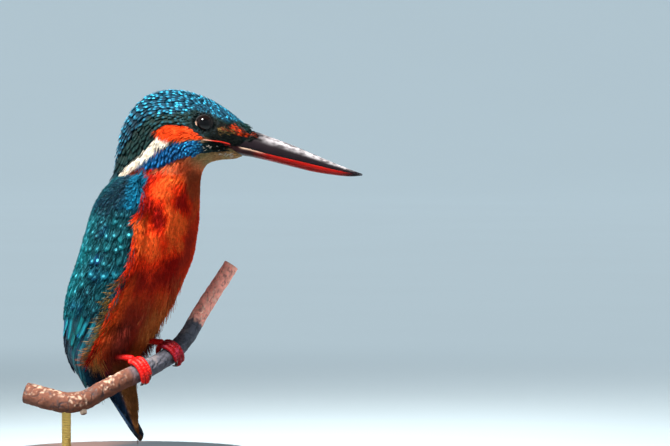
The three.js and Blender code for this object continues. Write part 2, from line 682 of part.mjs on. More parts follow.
const body = bodySolid();
const bodyGrown = bodySolid(GAP);
const sockets = joined(SIDES.map((side) => eyeBall(side, GAP)));
const mouth = billSolid(true, true, GAP);
const headWhole = towardsBill(body, CUTS.head).add(joined(SIDES.map(eyeLid)));

addNode("head", headWhole.subtract(sockets).subtract(mouth), "plumage");
addNode("neck", towardsBill(towardsTail(body, CUTS.head), CUTS.neck), "plumage");
addNode("torso", towardsBill(towardsTail(body, CUTS.neck), CUTS.torso), "orange");
addNode("rump", towardsTail(body, CUTS.torso), "orange");
addNode("bill_upper", billSolid(true, false).subtract(joined(SIDES.map(nostril))), "bill_black");
addNode("bill_lower", billSolid(false, true), "bill_red");
addNode("tail", tailVanes().subtract(bodyGrown), "plumage");

for (const side of SIDES) {
  const { name, toes, hind, claws, shank } = foot(side);
  addNode(`eye_${name}`, eyeBall(side), "eye");
  addNode(`wing_${name}`, wing(side).subtract(bodyGrown), "plumage");
  addNode(`toes_front_${name}`, toes, "skin");
  addNode(`toe_hind_${name}`, hind, "skin");
  addNode(`tarsus_${name}`, shank.subtract(bodyGrown), "skin");
  for (const [clawName, made] of claws) addNode(clawName, made, "claw");
}

addNode("perch", perchSolid().subtract(perchCutter()), "bark");
addNode("stand_rod", standRod(), "brass");
addNode("stand_base", standBase(), "walnut");

export default model;
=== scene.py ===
"""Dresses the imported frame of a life-size common kingfisher on a perch.

Sizes are in millimetres until a mesh is made. The bird's body faces +X, its left side is +Y and +Z is up. A place
on the body is a station count along it, from the bill's root to the tail coverts, and a bearing round it, from 0 on
the back over its left side to pi on the belly and on over its right side.
"""

import math
from types import SimpleNamespace

import bpy
import numpy as np
from bpy.props import FloatProperty, FloatVectorProperty, IntProperty, PointerProperty
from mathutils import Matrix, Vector


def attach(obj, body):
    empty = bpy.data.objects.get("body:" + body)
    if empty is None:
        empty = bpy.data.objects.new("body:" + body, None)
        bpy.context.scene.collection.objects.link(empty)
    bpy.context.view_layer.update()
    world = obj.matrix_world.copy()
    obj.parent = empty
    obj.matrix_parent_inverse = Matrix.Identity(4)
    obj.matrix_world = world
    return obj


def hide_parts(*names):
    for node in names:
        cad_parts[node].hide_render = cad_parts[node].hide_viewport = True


bl_info = {
    "name": "Kingfisher on a perch",
    "version": (1, 0, 0),
    "blender": (4, 5, 0),
    "location": "View3D > Sidebar > Kingfisher",
    "description": "Builds the plumage, bill, eyes, feet, perch and stand of a life-size kingfisher model",
    "category": "Object",
}

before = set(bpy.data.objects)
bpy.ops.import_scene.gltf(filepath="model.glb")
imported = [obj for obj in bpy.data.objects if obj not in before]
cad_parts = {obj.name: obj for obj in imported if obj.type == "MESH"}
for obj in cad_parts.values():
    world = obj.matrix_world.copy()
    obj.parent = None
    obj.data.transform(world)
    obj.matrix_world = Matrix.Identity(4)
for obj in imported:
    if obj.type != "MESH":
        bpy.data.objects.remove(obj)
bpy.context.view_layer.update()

MM = 0.001
TAU = 2 * math.pi
SIDES = {"right": -1, "left": 1}

# ---- Driving sizes, in millimetres and radians ----
HEAD_TURN = math.radians(20)
NECK_AXIS_X = 10.4
ROUNDNESS = 2.05

# The body's stations: the back's x and z, the belly's x and z, the half width, how far the widest place lies
# towards the belly, the coat's depth over the skin, and the length and half width of the feathers there.
STATIONS = {
    "bill_root": (42.3, 114.2, 38.2, 105.4, 4.9, 0.0, 0.30, 1.5, 0.46),
    "face": (38.4, 117.3, 35.0, 105.0, 7.0, 0.04, 0.40, 1.9, 0.60),
    "forehead": (33.4, 121.2, 31.6, 104.7, 9.3, 0.06, 0.50, 2.3, 0.70),
    "brow": (26.6, 125.1, 29.2, 104.2, 11.2, 0.08, 0.55, 2.6, 0.76),
    "crown": (18.6, 127.4, 27.6, 103.6, 12.5, 0.10, 0.60, 2.7, 0.78),
    "hind_crown": (10.0, 127.0, 26.6, 102.9, 13.1, 0.10, 0.65, 2.9, 0.82),
    "occiput": (3.2, 122.6, 25.9, 102.0, 13.2, 0.08, 0.70, 3.1, 0.86),
    "nape": (-1.4, 114.8, 25.3, 101.0, 12.9, 0.05, 0.80, 3.5, 0.95),
    "neck": (-3.4, 106.4, 24.9, 99.6, 12.7, 0.03, 0.90, 4.0, 1.05),
    "collar": (-4.6, 99.8, 24.5, 97.0, 13.0, 0.04, 1.00, 4.6, 1.20),
    "shoulder": (-9.0, 91.4, 24.2, 90.8, 14.0, 0.06, 1.10, 5.4, 1.40),
    "breast": (-12.6, 81.3, 23.2, 81.3, 15.3, 0.07, 1.20, 6.0, 1.50),
    "chest": (-15.6, 71.4, 20.8, 71.6, 15.6, 0.07, 1.25, 6.4, 1.60),
    "belly": (-18.0, 61.5, 16.2, 62.0, 15.0, 0.06, 1.30, 6.6, 1.60),
    "flank": (-19.2, 51.6, 11.1, 52.6, 13.4, 0.05, 1.30, 6.6, 1.60),
    "thigh": (-19.0, 43.8, 6.2, 45.6, 11.7, 0.03, 1.20, 6.4, 1.50),
    "vent": (-17.2, 37.4, 2.2, 40.0, 9.4, 0.0, 1.10, 6.2, 1.40),
    "rump": (-12.6, 31.8, 1.0, 34.2, 6.8, 0.0, 0.90, 6.0, 1.30),
    "undertail": (-5.8, 25.4, 1.5, 28.0, 4.7, 0.0, 0.80, 5.8, 1.20),
    "coverts": (-2.2, 20.8, 2.0, 22.2, 3.2, 0.0, 0.60, 5.0, 1.00),
    "coverts_end": (0.5, 17.2, 2.4, 17.5, 1.7, 0.0, 0.40, 4.0, 0.80),
}
BODY = np.array(list(STATIONS.values()))
PLACE = {name: float(i) for i, name in enumerate(STATIONS)}
LAST = len(BODY) - 1.0

# The bill in the head's own plane: x, then the ridge's, mouth line's and keel's heights and the half width.
BILL = np.array([
    (26.3, 111.9, 111.2, 110.7, 10.0), (33.0, 112.2, 110.5, 109.0, 8.4),
    (37.6, 112.5, 109.3, 106.4, 6.0), (42.3, 113.9, 108.2, 105.5, 4.6),
    (48.1, 112.1, 106.6, 104.2, 4.0), (55.0, 109.6, 105.0, 102.5, 3.3),
    (61.7, 106.8, 103.4, 100.9, 2.6), (67.9, 104.2, 101.9, 99.9, 1.95), (74.1, 101.7, 100.6, 99.3, 1.2),
    (78.4, 100.15, 99.9, 99.6, 0.35),
])
BILL_POWER = 0.85
MOUTH_SLIT = 0.04
NOSTRIL = {"x": 43.6, "z": 111.9, "length": 3.2, "height": 0.55, "depth": 0.28, "tilt": math.radians(-22)}

EYE = {"x": 27.6, "y": 8.9, "z": 116.8, "radius": 3.05, "ahead": math.radians(8)}
EYE_OPENING = 2.75

# The outer surface of the folded wings as level circles: height, the circle's centre along x, and its radius.
WING_RINGS = np.array([
    (101.0, 11.2, 13.0), (98.0, 9.9, 15.0), (91.2, 6.9, 17.0), (81.3, 4.5, 18.3), (71.4, 1.7, 18.8),
    (61.5, -2.6, 18.3), (51.6, -5.9, 16.9), (45.0, -7.9, 15.1), (40.0, -9.5, 13.0), (33.5, -11.6, 8.2),
    (28.0, -12.5, 4.6),
])
# The folded wing's edges: height, and the bearings of its front and back edge, from 0 ahead to 180 behind.
WING_EDGES = np.array([
    (98.5, 84, 132), (94.0, 70, 150), (81.3, 66, 160), (71.4, 64, 164), (61.5, 66, 167),
    (51.6, 70, 169), (45.0, 75, 169), (40.0, 82, 167), (34.5, 97, 155), (28.5, 114, 130),
])
# The flight feathers from the outermost primary to the innermost tertial: the root's height, the tip's place
# across the wing and height, how much turquoise and azure each carries, how navy its tip is, and how light
# the whole feather is.
FLIGHT = np.array([
    (57, 0.30, 28.6, 1.0, 0.2, 0.35, 1.0), (57, 0.45, 30.8, 0.7, 0.8, 0.4, 1.0),
    (57, 0.62, 33.3, 1.0, 0.3, 0.4, 1.0), (57, 0.78, 35.8, 0.3, 0.2, 0.7, 0.75),
    (57, 0.86, 38.2, 0.1, 0.0, 0.95, 0.55), (58, 0.82, 39.8, 0.1, 0.0, 0.95, 0.5),
    (58, 0.80, 41.4, 0.2, 0.1, 0.95, 0.55), (58, 0.84, 42.2, 0.1, 0.1, 0.95, 0.5),
    (59, 0.88, 43.0, 0.0, 0.3, 0.95, 0.5), (60, 0.91, 44.4, 0.0, 0.0, 0.9, 0.55),
    (61, 0.93, 46.8, 0.0, 0.2, 0.8, 0.6), (64, 0.95, 51.0, 0.1, 0.4, 0.75, 0.9),
    (68, 0.96, 56.0, 0.1, 0.8, 0.75, 1.0),
]).T

# The wing's coverts in rows: the tips' height, how many, their length and half width, the row's first and last
# place across the wing, and how bright their spots are.
COVERT_ROWS = [
    (98.2, 14, 3.4, 0.95, 0.13, 0.86, 0.1), (97.2, 15, 3.5, 0.95, 0.12, 0.88, 0.1),
    (96.1, 16, 3.6, 1.0, 0.11, 0.89, 0.1), (94.9, 17, 3.8, 1.0, 0.09, 0.91, 0.1),
    (93.6, 18, 4.0, 1.05, 0.08, 0.92, 0.15), (92.2, 18, 4.2, 1.1, 0.07, 0.93, 0.15),
    (90.6, 17, 4.6, 1.2, 0.07, 0.93, 0.2), (88.6, 15, 5.2, 1.4, 0.07, 0.93, 0.3),
    (85.8, 11, 6.6, 1.9, 0.07, 0.93, 0.5), (82.4, 10, 7.4, 2.2, 0.07, 0.92, 0.8),
    (78.4, 9, 8.2, 2.5, 0.07, 0.92, 1.0), (74.2, 9, 8.6, 2.6, 0.07, 0.92, 1.0),
    (69.8, 9, 8.8, 2.6, 0.06, 0.92, 1.0), (65.4, 9, 9.0, 2.6, 0.06, 0.92, 1.0),
    (60.8, 9, 9.4, 2.6, 0.06, 0.93, 0.9), (56.0, 9, 10.0, 2.5, 0.07, 0.94, 0.5),
]
# The long feathers over the wing: the root's place across and height, the tip's, the half width, and how azure
# they are and not turquoise.
SCAPULARS = np.array([
    (0.30, 64, 0.36, 47, 2.2, 0.0), (0.40, 66, 0.44, 43, 2.4, 0.0), (0.50, 67, 0.53, 45, 2.2, 0.1),
    (0.20, 60, 0.30, 46, 1.7, 0.3), (0.59, 65, 0.62, 48, 1.9, 0.2), (0.68, 63, 0.70, 46, 1.8, 0.5),
    (0.72, 93, 0.74, 80, 2.0, 0.2), (0.76, 88, 0.77, 72, 2.2, 0.3), (0.80, 82, 0.81, 65, 2.3, 0.5),
    (0.83, 76, 0.84, 57, 2.3, 0.7), (0.86, 94, 0.88, 78, 2.1, 0.5), (0.90, 88, 0.92, 70, 2.2, 0.8),
    (0.93, 82, 0.95, 62, 2.1, 1.0), (0.95, 74, 0.97, 56, 2.0, 1.0), (0.97, 66, 0.985, 52, 1.7, 1.0),
]).T
# The body's stations between which each piece of the breast's and belly's tufts lies.
BREAST_BANDS = [(9.1, 10.9), (10.9, 12.6), (12.6, 14.6), (14.6, 20.2)]

# Loose plumes that hang clear of the body: first and last station, the bearings from the back between which they
# grow, how many tufts on either side, their length, how far their tips stand off, how golden they are, or below 0
# how navy, and how light, where the thigh's 0.5 is a painted shade under the belly.
PLUMES = {
    "flank": (14.9, 15.9, 66, 98, 60, 6.5, 2.2, 0.8, 1.0),
    "vent": (15.4, 16.5, 46, 84, 80, 7.0, 2.4, -1.0, 1.0),
    "rump": (15.8, 16.6, 0, 58, 90, 7.6, 3.6, -0.85, 1.0),
    "thigh": (14.1, 15.3, 108, 136, 90, 6.6, 3.8, 0.0, 0.5),
    "belly": (12.3, 14.5, 150, 180, 16, 8.5, 2.0, 0.2, 1.0),
}
# How many small feathers and barbs each side has of its own.
EYE_FEATHERS, BILL_ROOT_FEATHERS, FLANK_STRANDS = 420, 260, 900
COVERT_BARBS, LOOSE_BARBS = 3500, 160
# The breast's clumps on its right side: station, bearing from the back, size, and how much brighter they are, or
# below 0 deeper.
CLUMPS = [
    (8.85, 127, 2.8, 0.9), (8.7, 142, 2.6, 0.9), (9.5, 118, 3.0, 0.7), (10.75, 154, 3.2, 1.0),
    (11.45, 126, 3.6, 1.0), (11.5, 168, 2.6, 0.7), (9.95, 150, 2.8, -1.1), (10.55, 131, 2.6, -0.9),
    (12.3, 155, 3.6, -0.25), (10.3, 167, 1.8, -0.5), (13.3, 108, 3.0, 0.6),
]
# The lower edge of the throat: bearings from the back, and the station there.
BIB = np.array([(80, 8.5), (95, 8.5), (130, 8.0), (142, 8.2), (165, 9.7)]).T

# The tail's root, slope, length and pairs of feathers, how far it spreads, and a feather's half width.
TAIL = {"x": -16.9, "z": 38.6, "slope": math.radians(-53), "length": 34.0, "pairs": 6, "spread": 2.5, "half": 2.0}

# The branch's centre line from its left cut end to its right one, and its radius there.
PERCH = np.array([
    (-19.8, -33.0, 28.9, 3.4), (-12.7, -31.5, 27.1, 3.5), (-6.1, -29.0, 25.9, 3.4),
    (-2.2, -25.8, 26.7, 3.2), (1.0, -20.0, 29.5, 3.0), (5.3, -12.5, 33.0, 3.0), (8.9, -7.0, 35.5, 3.0),
    (10.8, 0.5, 38.0, 2.95), (12.4, 7.0, 41.0, 2.95), (13.9, 12.0, 45.0, 2.9), (17.3, 18.0, 54.7, 2.7),
    (24.3, 25.0, 69.2, 2.55),
])
# Broken twigs: the share of the way along, the bearing, how far it stands out and its radius.
KNOBS = [(0.25, 170, 4.7, 1.2), (0.42, 300, 3.9, 1.0), (0.9, 60, 3.5, 0.9)]
FOOT_PLACES = {"right": 5.8, "left": 7.7}
# The clearance that touching nodes keep, and how the far foot is shaded.
GAP = 0.3
FAR_SHADE = np.array((0.5, 0.6, 2.0))

# The front toes: place beside the middle toe, bearing round the branch at the claw, and radius.
TOES = {"inner": (-1.45, 108, 0.84), "middle": (0.0, 142, 0.95), "outer": (1.45, 132, 0.9)}
HIND_TOE = (-0.6, -112, 0.95)
TOES_START = -22
CLAW_TURN = 44
TARSUS = {"bearing": -8, "r": 1.15, "heel_back": 9.8, "heel_up": 0.9, "heel_in": 0.6}

STAND = {"radius": 44.0, "height": 8.0, "rod": 1.5, "rod_along": 0.17}


# ---- Numbers ----
def linear(red, green, blue):
    """An sRGB colour in bytes as linear values."""
    share = np.array([red, green, blue]) / 255
    return tuple(np.where(share <= 0.04045, share / 12.92, ((share + 0.055) / 1.055) ** 2.4))


def smooth(value, low=0.0, high=1.0):
    """Goes from 0 at low to 1 at high, level at both ends: 3s² - 2s³ of the share s between them."""
    share = np.clip((value - low) / (high - low), 0, 1)
    return share * share * (3 - 2 * share)


def fade(value, low, high):
    """Goes from 1 at low to 0 at high."""
    return 1 - smooth(value, low, high)


def mix(low, high, weight):
    return low + (high - low) * weight


def paint(base, over, weight):
    """A colour over another, by a weight from 0 to 1 at each place."""
    base, over = np.asarray(base, float), np.asarray(over, float)
    return base + (over - base) * np.asarray(weight, float)[..., None]


def curve(rows, at):
    """A smooth curve (Catmull-Rom) through rows, at places counted in rows, and straight on past the last."""
    last = len(rows) - 1
    inside = np.clip(at, 0, last)
    i = np.minimum(inside.astype(int), last - 1)
    t = (inside - i)[..., None]
    a, b, c, d = rows[np.maximum(i - 1, 0)], rows[i], rows[i + 1], rows[np.minimum(i + 2, last)]
    bent = b + 0.5 * t * (c - a + t * (2 * a - 5 * b + 4 * c - d + t * (3 * (b - c) + d - a)))
    return bent + np.maximum(at - last, 0)[..., None] * (rows[-1] - rows[-2])


def by_height(rows, z):
    """The other columns of rows sorted by falling height, at heights z: a Hermite curve with mean slopes."""
    heights, values = -rows[:, 0], rows[:, 1:]
    slopes = np.gradient(values, heights, axis=0)
    at = np.clip(-np.asarray(z, float), heights[0], heights[-1])
    i = np.clip(np.searchsorted(heights, at) - 1, 0, len(heights) - 2)
    width = (heights[i + 1] - heights[i])[..., None]
    t = (at - heights[i])[..., None] / width
    low, high = values[i], values[i + 1]
    eased = low + (high - low) * t * t * (3 - 2 * t)
    return eased + width * t * (1 - t) * ((1 - t) * slopes[i] - t * slopes[i + 1])


def chance(i, j, k, seed):
    """A fixed chance value from 0 to 1 for each whole-number point, mixed from its numbers and a seed."""
    n = (i * 1619 + j * 31337 + k * 6971 + seed * 1013) & 0x7FFFFFFF
    n = (n >> 13) ^ n
    n = (n * (n * n * 60493 + 19990303) + 1376312589) & 0x7FFFFFFF
    return n / 0x7FFFFFFF


def noise(points, size, seed=0):
    """Soft noise from -1 to 1 with bumps about `size` wide, blended between chance values at a grid's corners."""
    scaled = np.asarray(points, float) / size + 1000
    whole = np.floor(scaled).astype(np.int64)
    part = smooth(scaled - whole)
    total = 0.0
    for corner in np.ndindex(2, 2, 2):
        wx, wy, wz = (part[..., i] if one else 1 - part[..., i] for i, one in enumerate(corner))
        total = total + wx * wy * wz * chance(*np.moveaxis(whole + corner, -1, 0), seed)
    return total * 2 - 1


def stacked(*parts):
    """Points from their coordinates, each an array or one number."""
    return np.stack(np.broadcast_arrays(*parts), -1)


def unit(vectors):
    return vectors / np.maximum(np.linalg.norm(vectors, axis=-1, keepdims=True), 1e-9)


# ---- Surfaces: each is a function of two parameters ----
def turned(points, share=1.0):
    """Points turned with the head about the upright neck axis, by a share of its full turn."""
    angle = HEAD_TURN * share
    dx, y = points[..., 0] - NECK_AXIS_X, points[..., 1]
    cos, sin = np.cos(angle), np.sin(angle)
    return stacked(NECK_AXIS_X + dx * cos - y * sin, dx * sin + y * cos, points[..., 2])


def body_plain(at, bearing, lift=0.0):
    """The body before the head is turned: a superellipse of power 2.05 between the back's and the belly's
    points, grown by lift, and a little wider towards the belly."""
    rows = curve(BODY[:, :6], at)
    centre, spine = (rows[..., 0:2] + rows[..., 2:4]) / 2, (rows[..., 0:2] - rows[..., 2:4]) / 2
    depth = np.linalg.norm(spine, axis=-1)
    c, n = np.cos(bearing), np.sin(bearing)
    rise = np.sign(c) * np.abs(c) ** (2 / ROUNDNESS) * (depth + lift) / depth
    side = np.sign(n) * np.abs(n) ** (2 / ROUNDNESS) * (rows[..., 4] + lift) * (1 - rows[..., 5] * c)
    return stacked(centre[..., 0] + spine[..., 0] * rise, side, centre[..., 1] + spine[..., 1] * rise)


def body_surface(at, bearing, lift=0.0):
    """The same with the head turned, a turn that fades out from the nape to the breast."""
    return turned(body_plain(at, bearing, lift), fade(at, PLACE["nape"], PLACE["breast"]))


def wing_surface(side):
    """The folded wing's outer surface: down is the height below 100, and across goes from its front edge to 1
    at its back."""

    def surface(down, across):
        z = 100.0 - down
        ring, edge = by_height(WING_RINGS, z), by_height(WING_EDGES, z)
        bearing = np.radians(edge[..., 0] + (edge[..., 1] - edge[..., 0]) * across)
        radius = ring[..., 1]
        return stacked(ring[..., 0] + radius * np.cos(bearing), side * radius * np.sin(bearing), z)

    return surface


def tail_surface(along, across):
    """The tail's flat middle sheet, along it from its root and across it in millimetres."""
    slope = TAIL["slope"]
    return stacked(TAIL["x"] + math.cos(slope) * along, across, TAIL["z"] + math.sin(slope) * along)


class Chart:
    """A surface(u, v) that feathers grow on, with u the way they lie. handed is the side of cross(dv, du) that
    faces out, and unwrap(u, v) gives a place on the unwrapped sheet, from 0 to 1 both ways."""

    def __init__(self, surface, handed, unwrap):
        self.surface, self.handed, self.unwrap = surface, handed, unwrap

    def slopes(self, u, v, step=2e-3):
        du = (self.surface(u + step, v) - self.surface(u - step, v)) / (2 * step)
        dv = (self.surface(u, v + step) - self.surface(u, v - step)) / (2 * step)
        return du, dv

    def moved(self, u, v, along, beside):
        """The parameters of the place `along` and `beside` millimetres from (u, v), by both slopes' metric."""
        du, dv = self.slopes(u, v)
        e, f, g = (du * du).sum(-1), (du * dv).sum(-1), (dv * dv).sum(-1)
        e = np.maximum(e, 1e-6)
        width = np.sqrt(np.maximum(g - f * f / e, 1e-6))
        return u + along / np.sqrt(e) - beside * f / (e * width), v + beside / width

    def lifted(self, u, v, lift):
        """The surface's points, raised along its normal."""
        du, dv = self.slopes(u, v)
        return self.surface(u, v) + self.handed * unit(np.cross(dv, du)) * lift[..., None]


BODY_CHART = Chart(body_surface, 1.0, lambda at, bearing: stacked(np.mod(bearing / TAU, 1), at / (LAST + 1)))
WING_CHARTS = {
    name: Chart(wing_surface(side), -side, lambda down, across: stacked(across * 0.8 + 0.1, down / 80))
    for name, side in SIDES.items()
}
TAIL_CHART = Chart(tail_surface, 1.0, lambda along, across: stacked(across / 10 + 0.5, along / 40 + 0.05))


# ---- Meshes ----
def grid(rows, sides):
    """Whole arrays over rings and sides: each ring's value, and the bearing of each place round it."""
    return np.meshgrid(rows, np.linspace(0, TAU, sides, endpoint=False), indexing="ij")


def tube_faces(count, rings, sides):
    """Triangles of `count` closed tubes, each of rings x sides points, with a fan over either end."""
    ring, side = np.meshgrid(np.arange(rings - 1), np.arange(sides), indexing="ij")
    a, b = ring * sides + side, ring * sides + (side + 1) % sides
    walls = np.concatenate([stacked(a, b, a + sides), stacked(b, b + sides, a + sides)])
    fan = np.arange(1, sides - 1)
    start, end = stacked(0, fan + 1, fan), stacked(0, fan, fan + 1) + (rings - 1) * sides
    one = np.concatenate([walls.reshape(-1, 3), start, end])
    return (one[None] + (np.arange(count) * rings * sides)[:, None, None]).reshape(-1, 3)


def make_piece(name, points, faces, material, attributes=None, bake=None, smooth_faces=True):
    """A mesh object at the origin from whole arrays of points in millimetres, triangles, attributes and UVs."""
    points, faces = points.reshape(-1, 3), np.asarray(faces, np.int32)
    mesh = bpy.data.meshes.new(name)
    mesh.vertices.add(len(points))
    mesh.vertices.foreach_set("co", (points * MM).astype(np.float32).ravel())
    mesh.loops.add(faces.size)
    mesh.loops.foreach_set("vertex_index", faces.ravel())
    mesh.polygons.add(len(faces))
    mesh.polygons.foreach_set("loop_start", np.arange(0, faces.size, 3, dtype=np.int32))
    mesh.polygons.foreach_set("use_smooth", np.full(len(faces), smooth_faces))
    mesh.update(calc_edges=True)
    for key, values in (attributes or {}).items():
        values = values.reshape(len(points), -1)
        kind, slot = ("FLOAT_COLOR", "color") if values.shape[1] == 4 else ("FLOAT_VECTOR", "vector")
        layer = mesh.attributes.new(key, kind, "POINT")
        layer.data.foreach_set(slot, values.astype(np.float32).ravel())
    if bake is not None:
        layer = mesh.uv_layers.new(name="OFBake")
        layer.data.foreach_set("uv", bake.reshape(-1, 2)[faces.ravel()].astype(np.float32).ravel())
    mesh.validate()
    mesh.materials.append(material)
    piece = bpy.data.objects.new(name, mesh)
    bpy.context.scene.collection.objects.link(piece)
    return piece


def seat(piece, slot, *replaced):
    """Rides the piece on the frame and hides the frame's nodes that it stands for. Its slot is not used."""
    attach(piece, "root")
    if replaced:
        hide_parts(*replaced)
    return piece


def rgba(tint, alpha=1.0):
    return np.concatenate([tint, np.broadcast_to(alpha, tint.shape[:-1])[..., None]], -1)


def tube_piece(name, tubes, material, slot, *replaced, bake=None):
    """A piece of closed tubes, each its points over rings and sides, its tint and whether it runs inside out."""
    faces, first = [], 0
    for points, _, inside_out in tubes:
        one = tube_faces(1, *points.shape[:2]) + first
        faces.append(one[:, ::-1] if inside_out else one)
        first += points[..., 0].size
    points = np.concatenate([points.reshape(-1, 3) for points, _, _ in tubes])
    tint = np.concatenate([np.broadcast_to(tint, points.shape).reshape(-1, 3) for points, tint, _ in tubes])
    piece = make_piece(name, points, np.concatenate(faces), material, {"tint": rgba(tint)}, bake)
    return seat(piece, slot, *replaced)


# ---- Feathers: closed blades along a chart ----
def short_path(chart, u, v, yaw, length, rings, bend=0.0):
    """The middle line of short feathers: straight on from the root at an angle yaw to the lie, bent sideways
    by bend x share². Gives u, v and the heading at each ring."""
    share = np.linspace(0, 1, rings)
    along = length[:, None] * share
    beside = np.broadcast_to(np.asarray(bend, float), length.shape)[:, None] * share**2
    cos, sin = np.cos(yaw)[:, None], np.sin(yaw)[:, None]
    u, v = chart.moved(u[:, None], v[:, None], along * cos - beside * sin, along * sin + beside * cos)
    return u, v, np.broadcast_to(yaw[:, None], u.shape)


def long_path(chart, start, end, rings, ease=1.0):
    """The middle line of long feathers from one (u, v) to another, with v moving by share^ease."""
    share = np.linspace(0, 1, rings)
    u, v = (mix(first[:, None], last[:, None], share**power) for first, last, power in zip(start, end, (1, ease)))
    points = chart.surface(u, v)
    heading = np.gradient(points, axis=1)
    du, dv = chart.slopes(u, v)
    across = dv - du * ((du * dv).sum(-1) / (du * du).sum(-1))[..., None]
    return u, v, np.arctan2((heading * unit(across)).sum(-1), (heading * unit(du)).sum(-1))


def blades(chart, path, root, half, rise, widths, section, arch=0.0):
    """Closed blades along a path. Ring r's corners stand beside its middle by the section's first column times the
    half width times widths[r], and above it by the second column in millimetres, thinner where the blade is
    narrow. The height goes from rise[0] to rise[1] along share^1.4, plus arch x sin(pi share)."""
    u, v, yaw = path
    rings, sides = len(widths), len(section)
    share = np.linspace(0, 1, rings)
    widths, section = np.asarray(widths, float), np.asarray(section, float)
    beside = half[:, None, None] * widths[:, None] * section[:, 0]
    low, high, arch = (np.broadcast_to(value, half.shape)[:, None] for value in (*rise, arch))
    height = mix(low, high, share**1.4) + arch * np.sin(np.pi * share)
    height = height[:, :, None] + (0.35 + 0.65 * widths[:, None]) * section[:, 1]
    sin, cos = np.sin(yaw)[..., None], np.cos(yaw)[..., None]
    at_u, at_v = chart.moved(u[..., None], v[..., None], -beside * sin, beside * cos)
    points = chart.lifted(at_u, at_v, height)
    vane = stacked(widths[:, None] * section[:, 0], share[:, None], 0.0)
    vane = np.broadcast_to(vane, (len(half), rings, sides, 3))
    return points, vane, chart.unwrap(*root)[:, None, None, :] + vane[..., :2] * (0.0015, 0.003)


def coat_piece(name, made, tint, bead, lot, material, slot, *replaced):
    """Joins blades into one piece. tint is their colours at root and tip, bead their spots' colours and
    strengths or None, and lot a chance number for each."""
    points, vane, bake = made
    root, tip = tint
    bead = rgba(tip, 0) if bead is None else bead
    share = vane[..., 1:2]
    attributes = {
        "tint": rgba(root[:, None, None, :] * (1 - share) + tip[:, None, None, :] * share),
        "bead": np.broadcast_to(bead[:, None, None, :], points.shape[:3] + (4,)),
        "vane": np.concatenate([vane[..., :2], np.broadcast_to(lot[:, None, None, None], share.shape)], -1),
    }
    faces = tube_faces(*points.shape[:3])
    return seat(make_piece(name, points, faces, material, attributes, bake), slot, *replaced)


# Sections of blades, and their widths from the root to the tip.
FLAT_VANE = [(1, -0.05), (0, 0.09), (-1, -0.05), (0, -0.12)]
HAIR = [(1, -0.04), (0, 0.12), (-1, -0.04)]
CONTOUR = [0.45, 0.9, 1.0, 0.82, 0.3]
BARB = [0.7, 1.0, 0.75, 0.12]
STRAND = [0.6, 1.0, 0.95, 0.8, 0.55, 0.15]
LONG_CONTOUR = [0.4, 0.75, 0.95, 1.0, 0.85, 0.3]
FINE_VANE = [
    (1, -0.02), (0.55, 0.06), (0.06, 0.09), (0, 0.2), (-0.06, 0.09), (-0.55, 0.06), (-1, -0.02), (0, -0.1)
]
COVERT = [0.5, 0.8, 0.93, 1.0, 1.0, 0.95, 0.8, 0.55, 0.2]
REMEX = list(np.interp(np.linspace(0, 1, 28), [0, 0.1, 0.45, 0.85, 0.95, 1], [0.3, 0.8, 1, 0.92, 0.65, 0.18]))


def body_lattice(seed, first, last, spacing, keep):
    """Roots for feathers in staggered, slightly uneven rows round the body from one station count to another.
    spacing is the rows' distance in feather lengths and the roots' in half widths, and keep(at, bearing) says
    which stay."""
    random = np.random.default_rng(seed)
    ats, bearings = [], []
    at, row = first, 0
    while at < last:
        _, length, half = coat_size(np.array(at))
        ring = body_plain(np.full(64, at), np.linspace(0, TAU, 64, endpoint=False))
        girth = np.linalg.norm(ring - np.roll(ring, 1, 0), axis=-1).sum()
        count = max(int(girth / (half * spacing[1])), 8)
        turn = (np.arange(count) + 0.5 * (row % 2) + random.uniform(-0.3, 0.3, count)) / count
        ats.append(at + random.uniform(-0.5, 0.5, count) * row_step(at) * length * spacing[0] * 0.7)
        bearings.append(even_bearing(at, np.mod(turn, 1)))
        at, row = at + row_step(at) * length * spacing[0], row + 1
    at, bearing = np.concatenate(ats), np.concatenate(bearings)
    kept = keep(at, bearing)
    return at[kept], bearing[kept], random


def coat_size(at):
    """The coat's depth and the feathers' length and half width at station counts."""
    return np.moveaxis(curve(BODY[:, 6:], at), -1, 0)


def row_step(at):
    """Station counts for each millimetre down the body's side."""
    du, _ = BODY_CHART.slopes(np.full(2, at), np.array([math.pi / 2, math.pi]))
    return 1 / float(np.linalg.norm(du, axis=-1).mean())


def even_bearing(at, turn):
    """Bearings that share a section's girth evenly, for shares of a full turn."""
    bearings = np.linspace(0, TAU, 121)
    ring = body_plain(np.full(121, at), bearings)
    walked = np.concatenate([[0], np.cumsum(np.linalg.norm(np.diff(ring, axis=0), axis=-1))])
    return np.interp(turn * walked[-1], walked, bearings)


# ---- Markings ----
# Lines on the head's side view as heights over x, each as its x's and its heights.
CROWN_EDGE = np.array([
    (-8, 96), (-3, 102), (1.4, 109.5), (6.2, 116.0), (10, 119.2), (15.5, 119.4), (20.9, 120.4), (24.7, 121.2),
    (29.6, 119.8), (33.9, 117.6), (38.2, 117.0), (43, 115.6),
]).T
EAR_TOP = np.array([
    (10.6, 113.2), (13.5, 115.6), (17.1, 116.4), (20.9, 116.0), (23.6, 115.2), (25.7, 113.7), (28.0, 111.6)
]).T
EAR_LOW = np.array([(10.6, 113.0), (13.3, 111.2), (16, 110.5), (19.8, 110.9), (23, 111.5), (28.0, 111.5)]).T
MALAR_TOP = np.array([
    (1, 99.6), (5.2, 101.9), (8.4, 104), (11.1, 105.6), (13.8, 107.8), (16.5, 109.4), (19.3, 110.4), (22.5, 111),
    (29.6, 110.8), (35, 107.6),
]).T
MALAR_LOW = np.array([
    (1, 99.4), (5.2, 100.6), (11.7, 101.2), (14.9, 102.1), (18.2, 103.5), (22, 105.1), (25.2, 106.2), (28.5, 107),
    (31.7, 107.4), (35, 107.6),
]).T
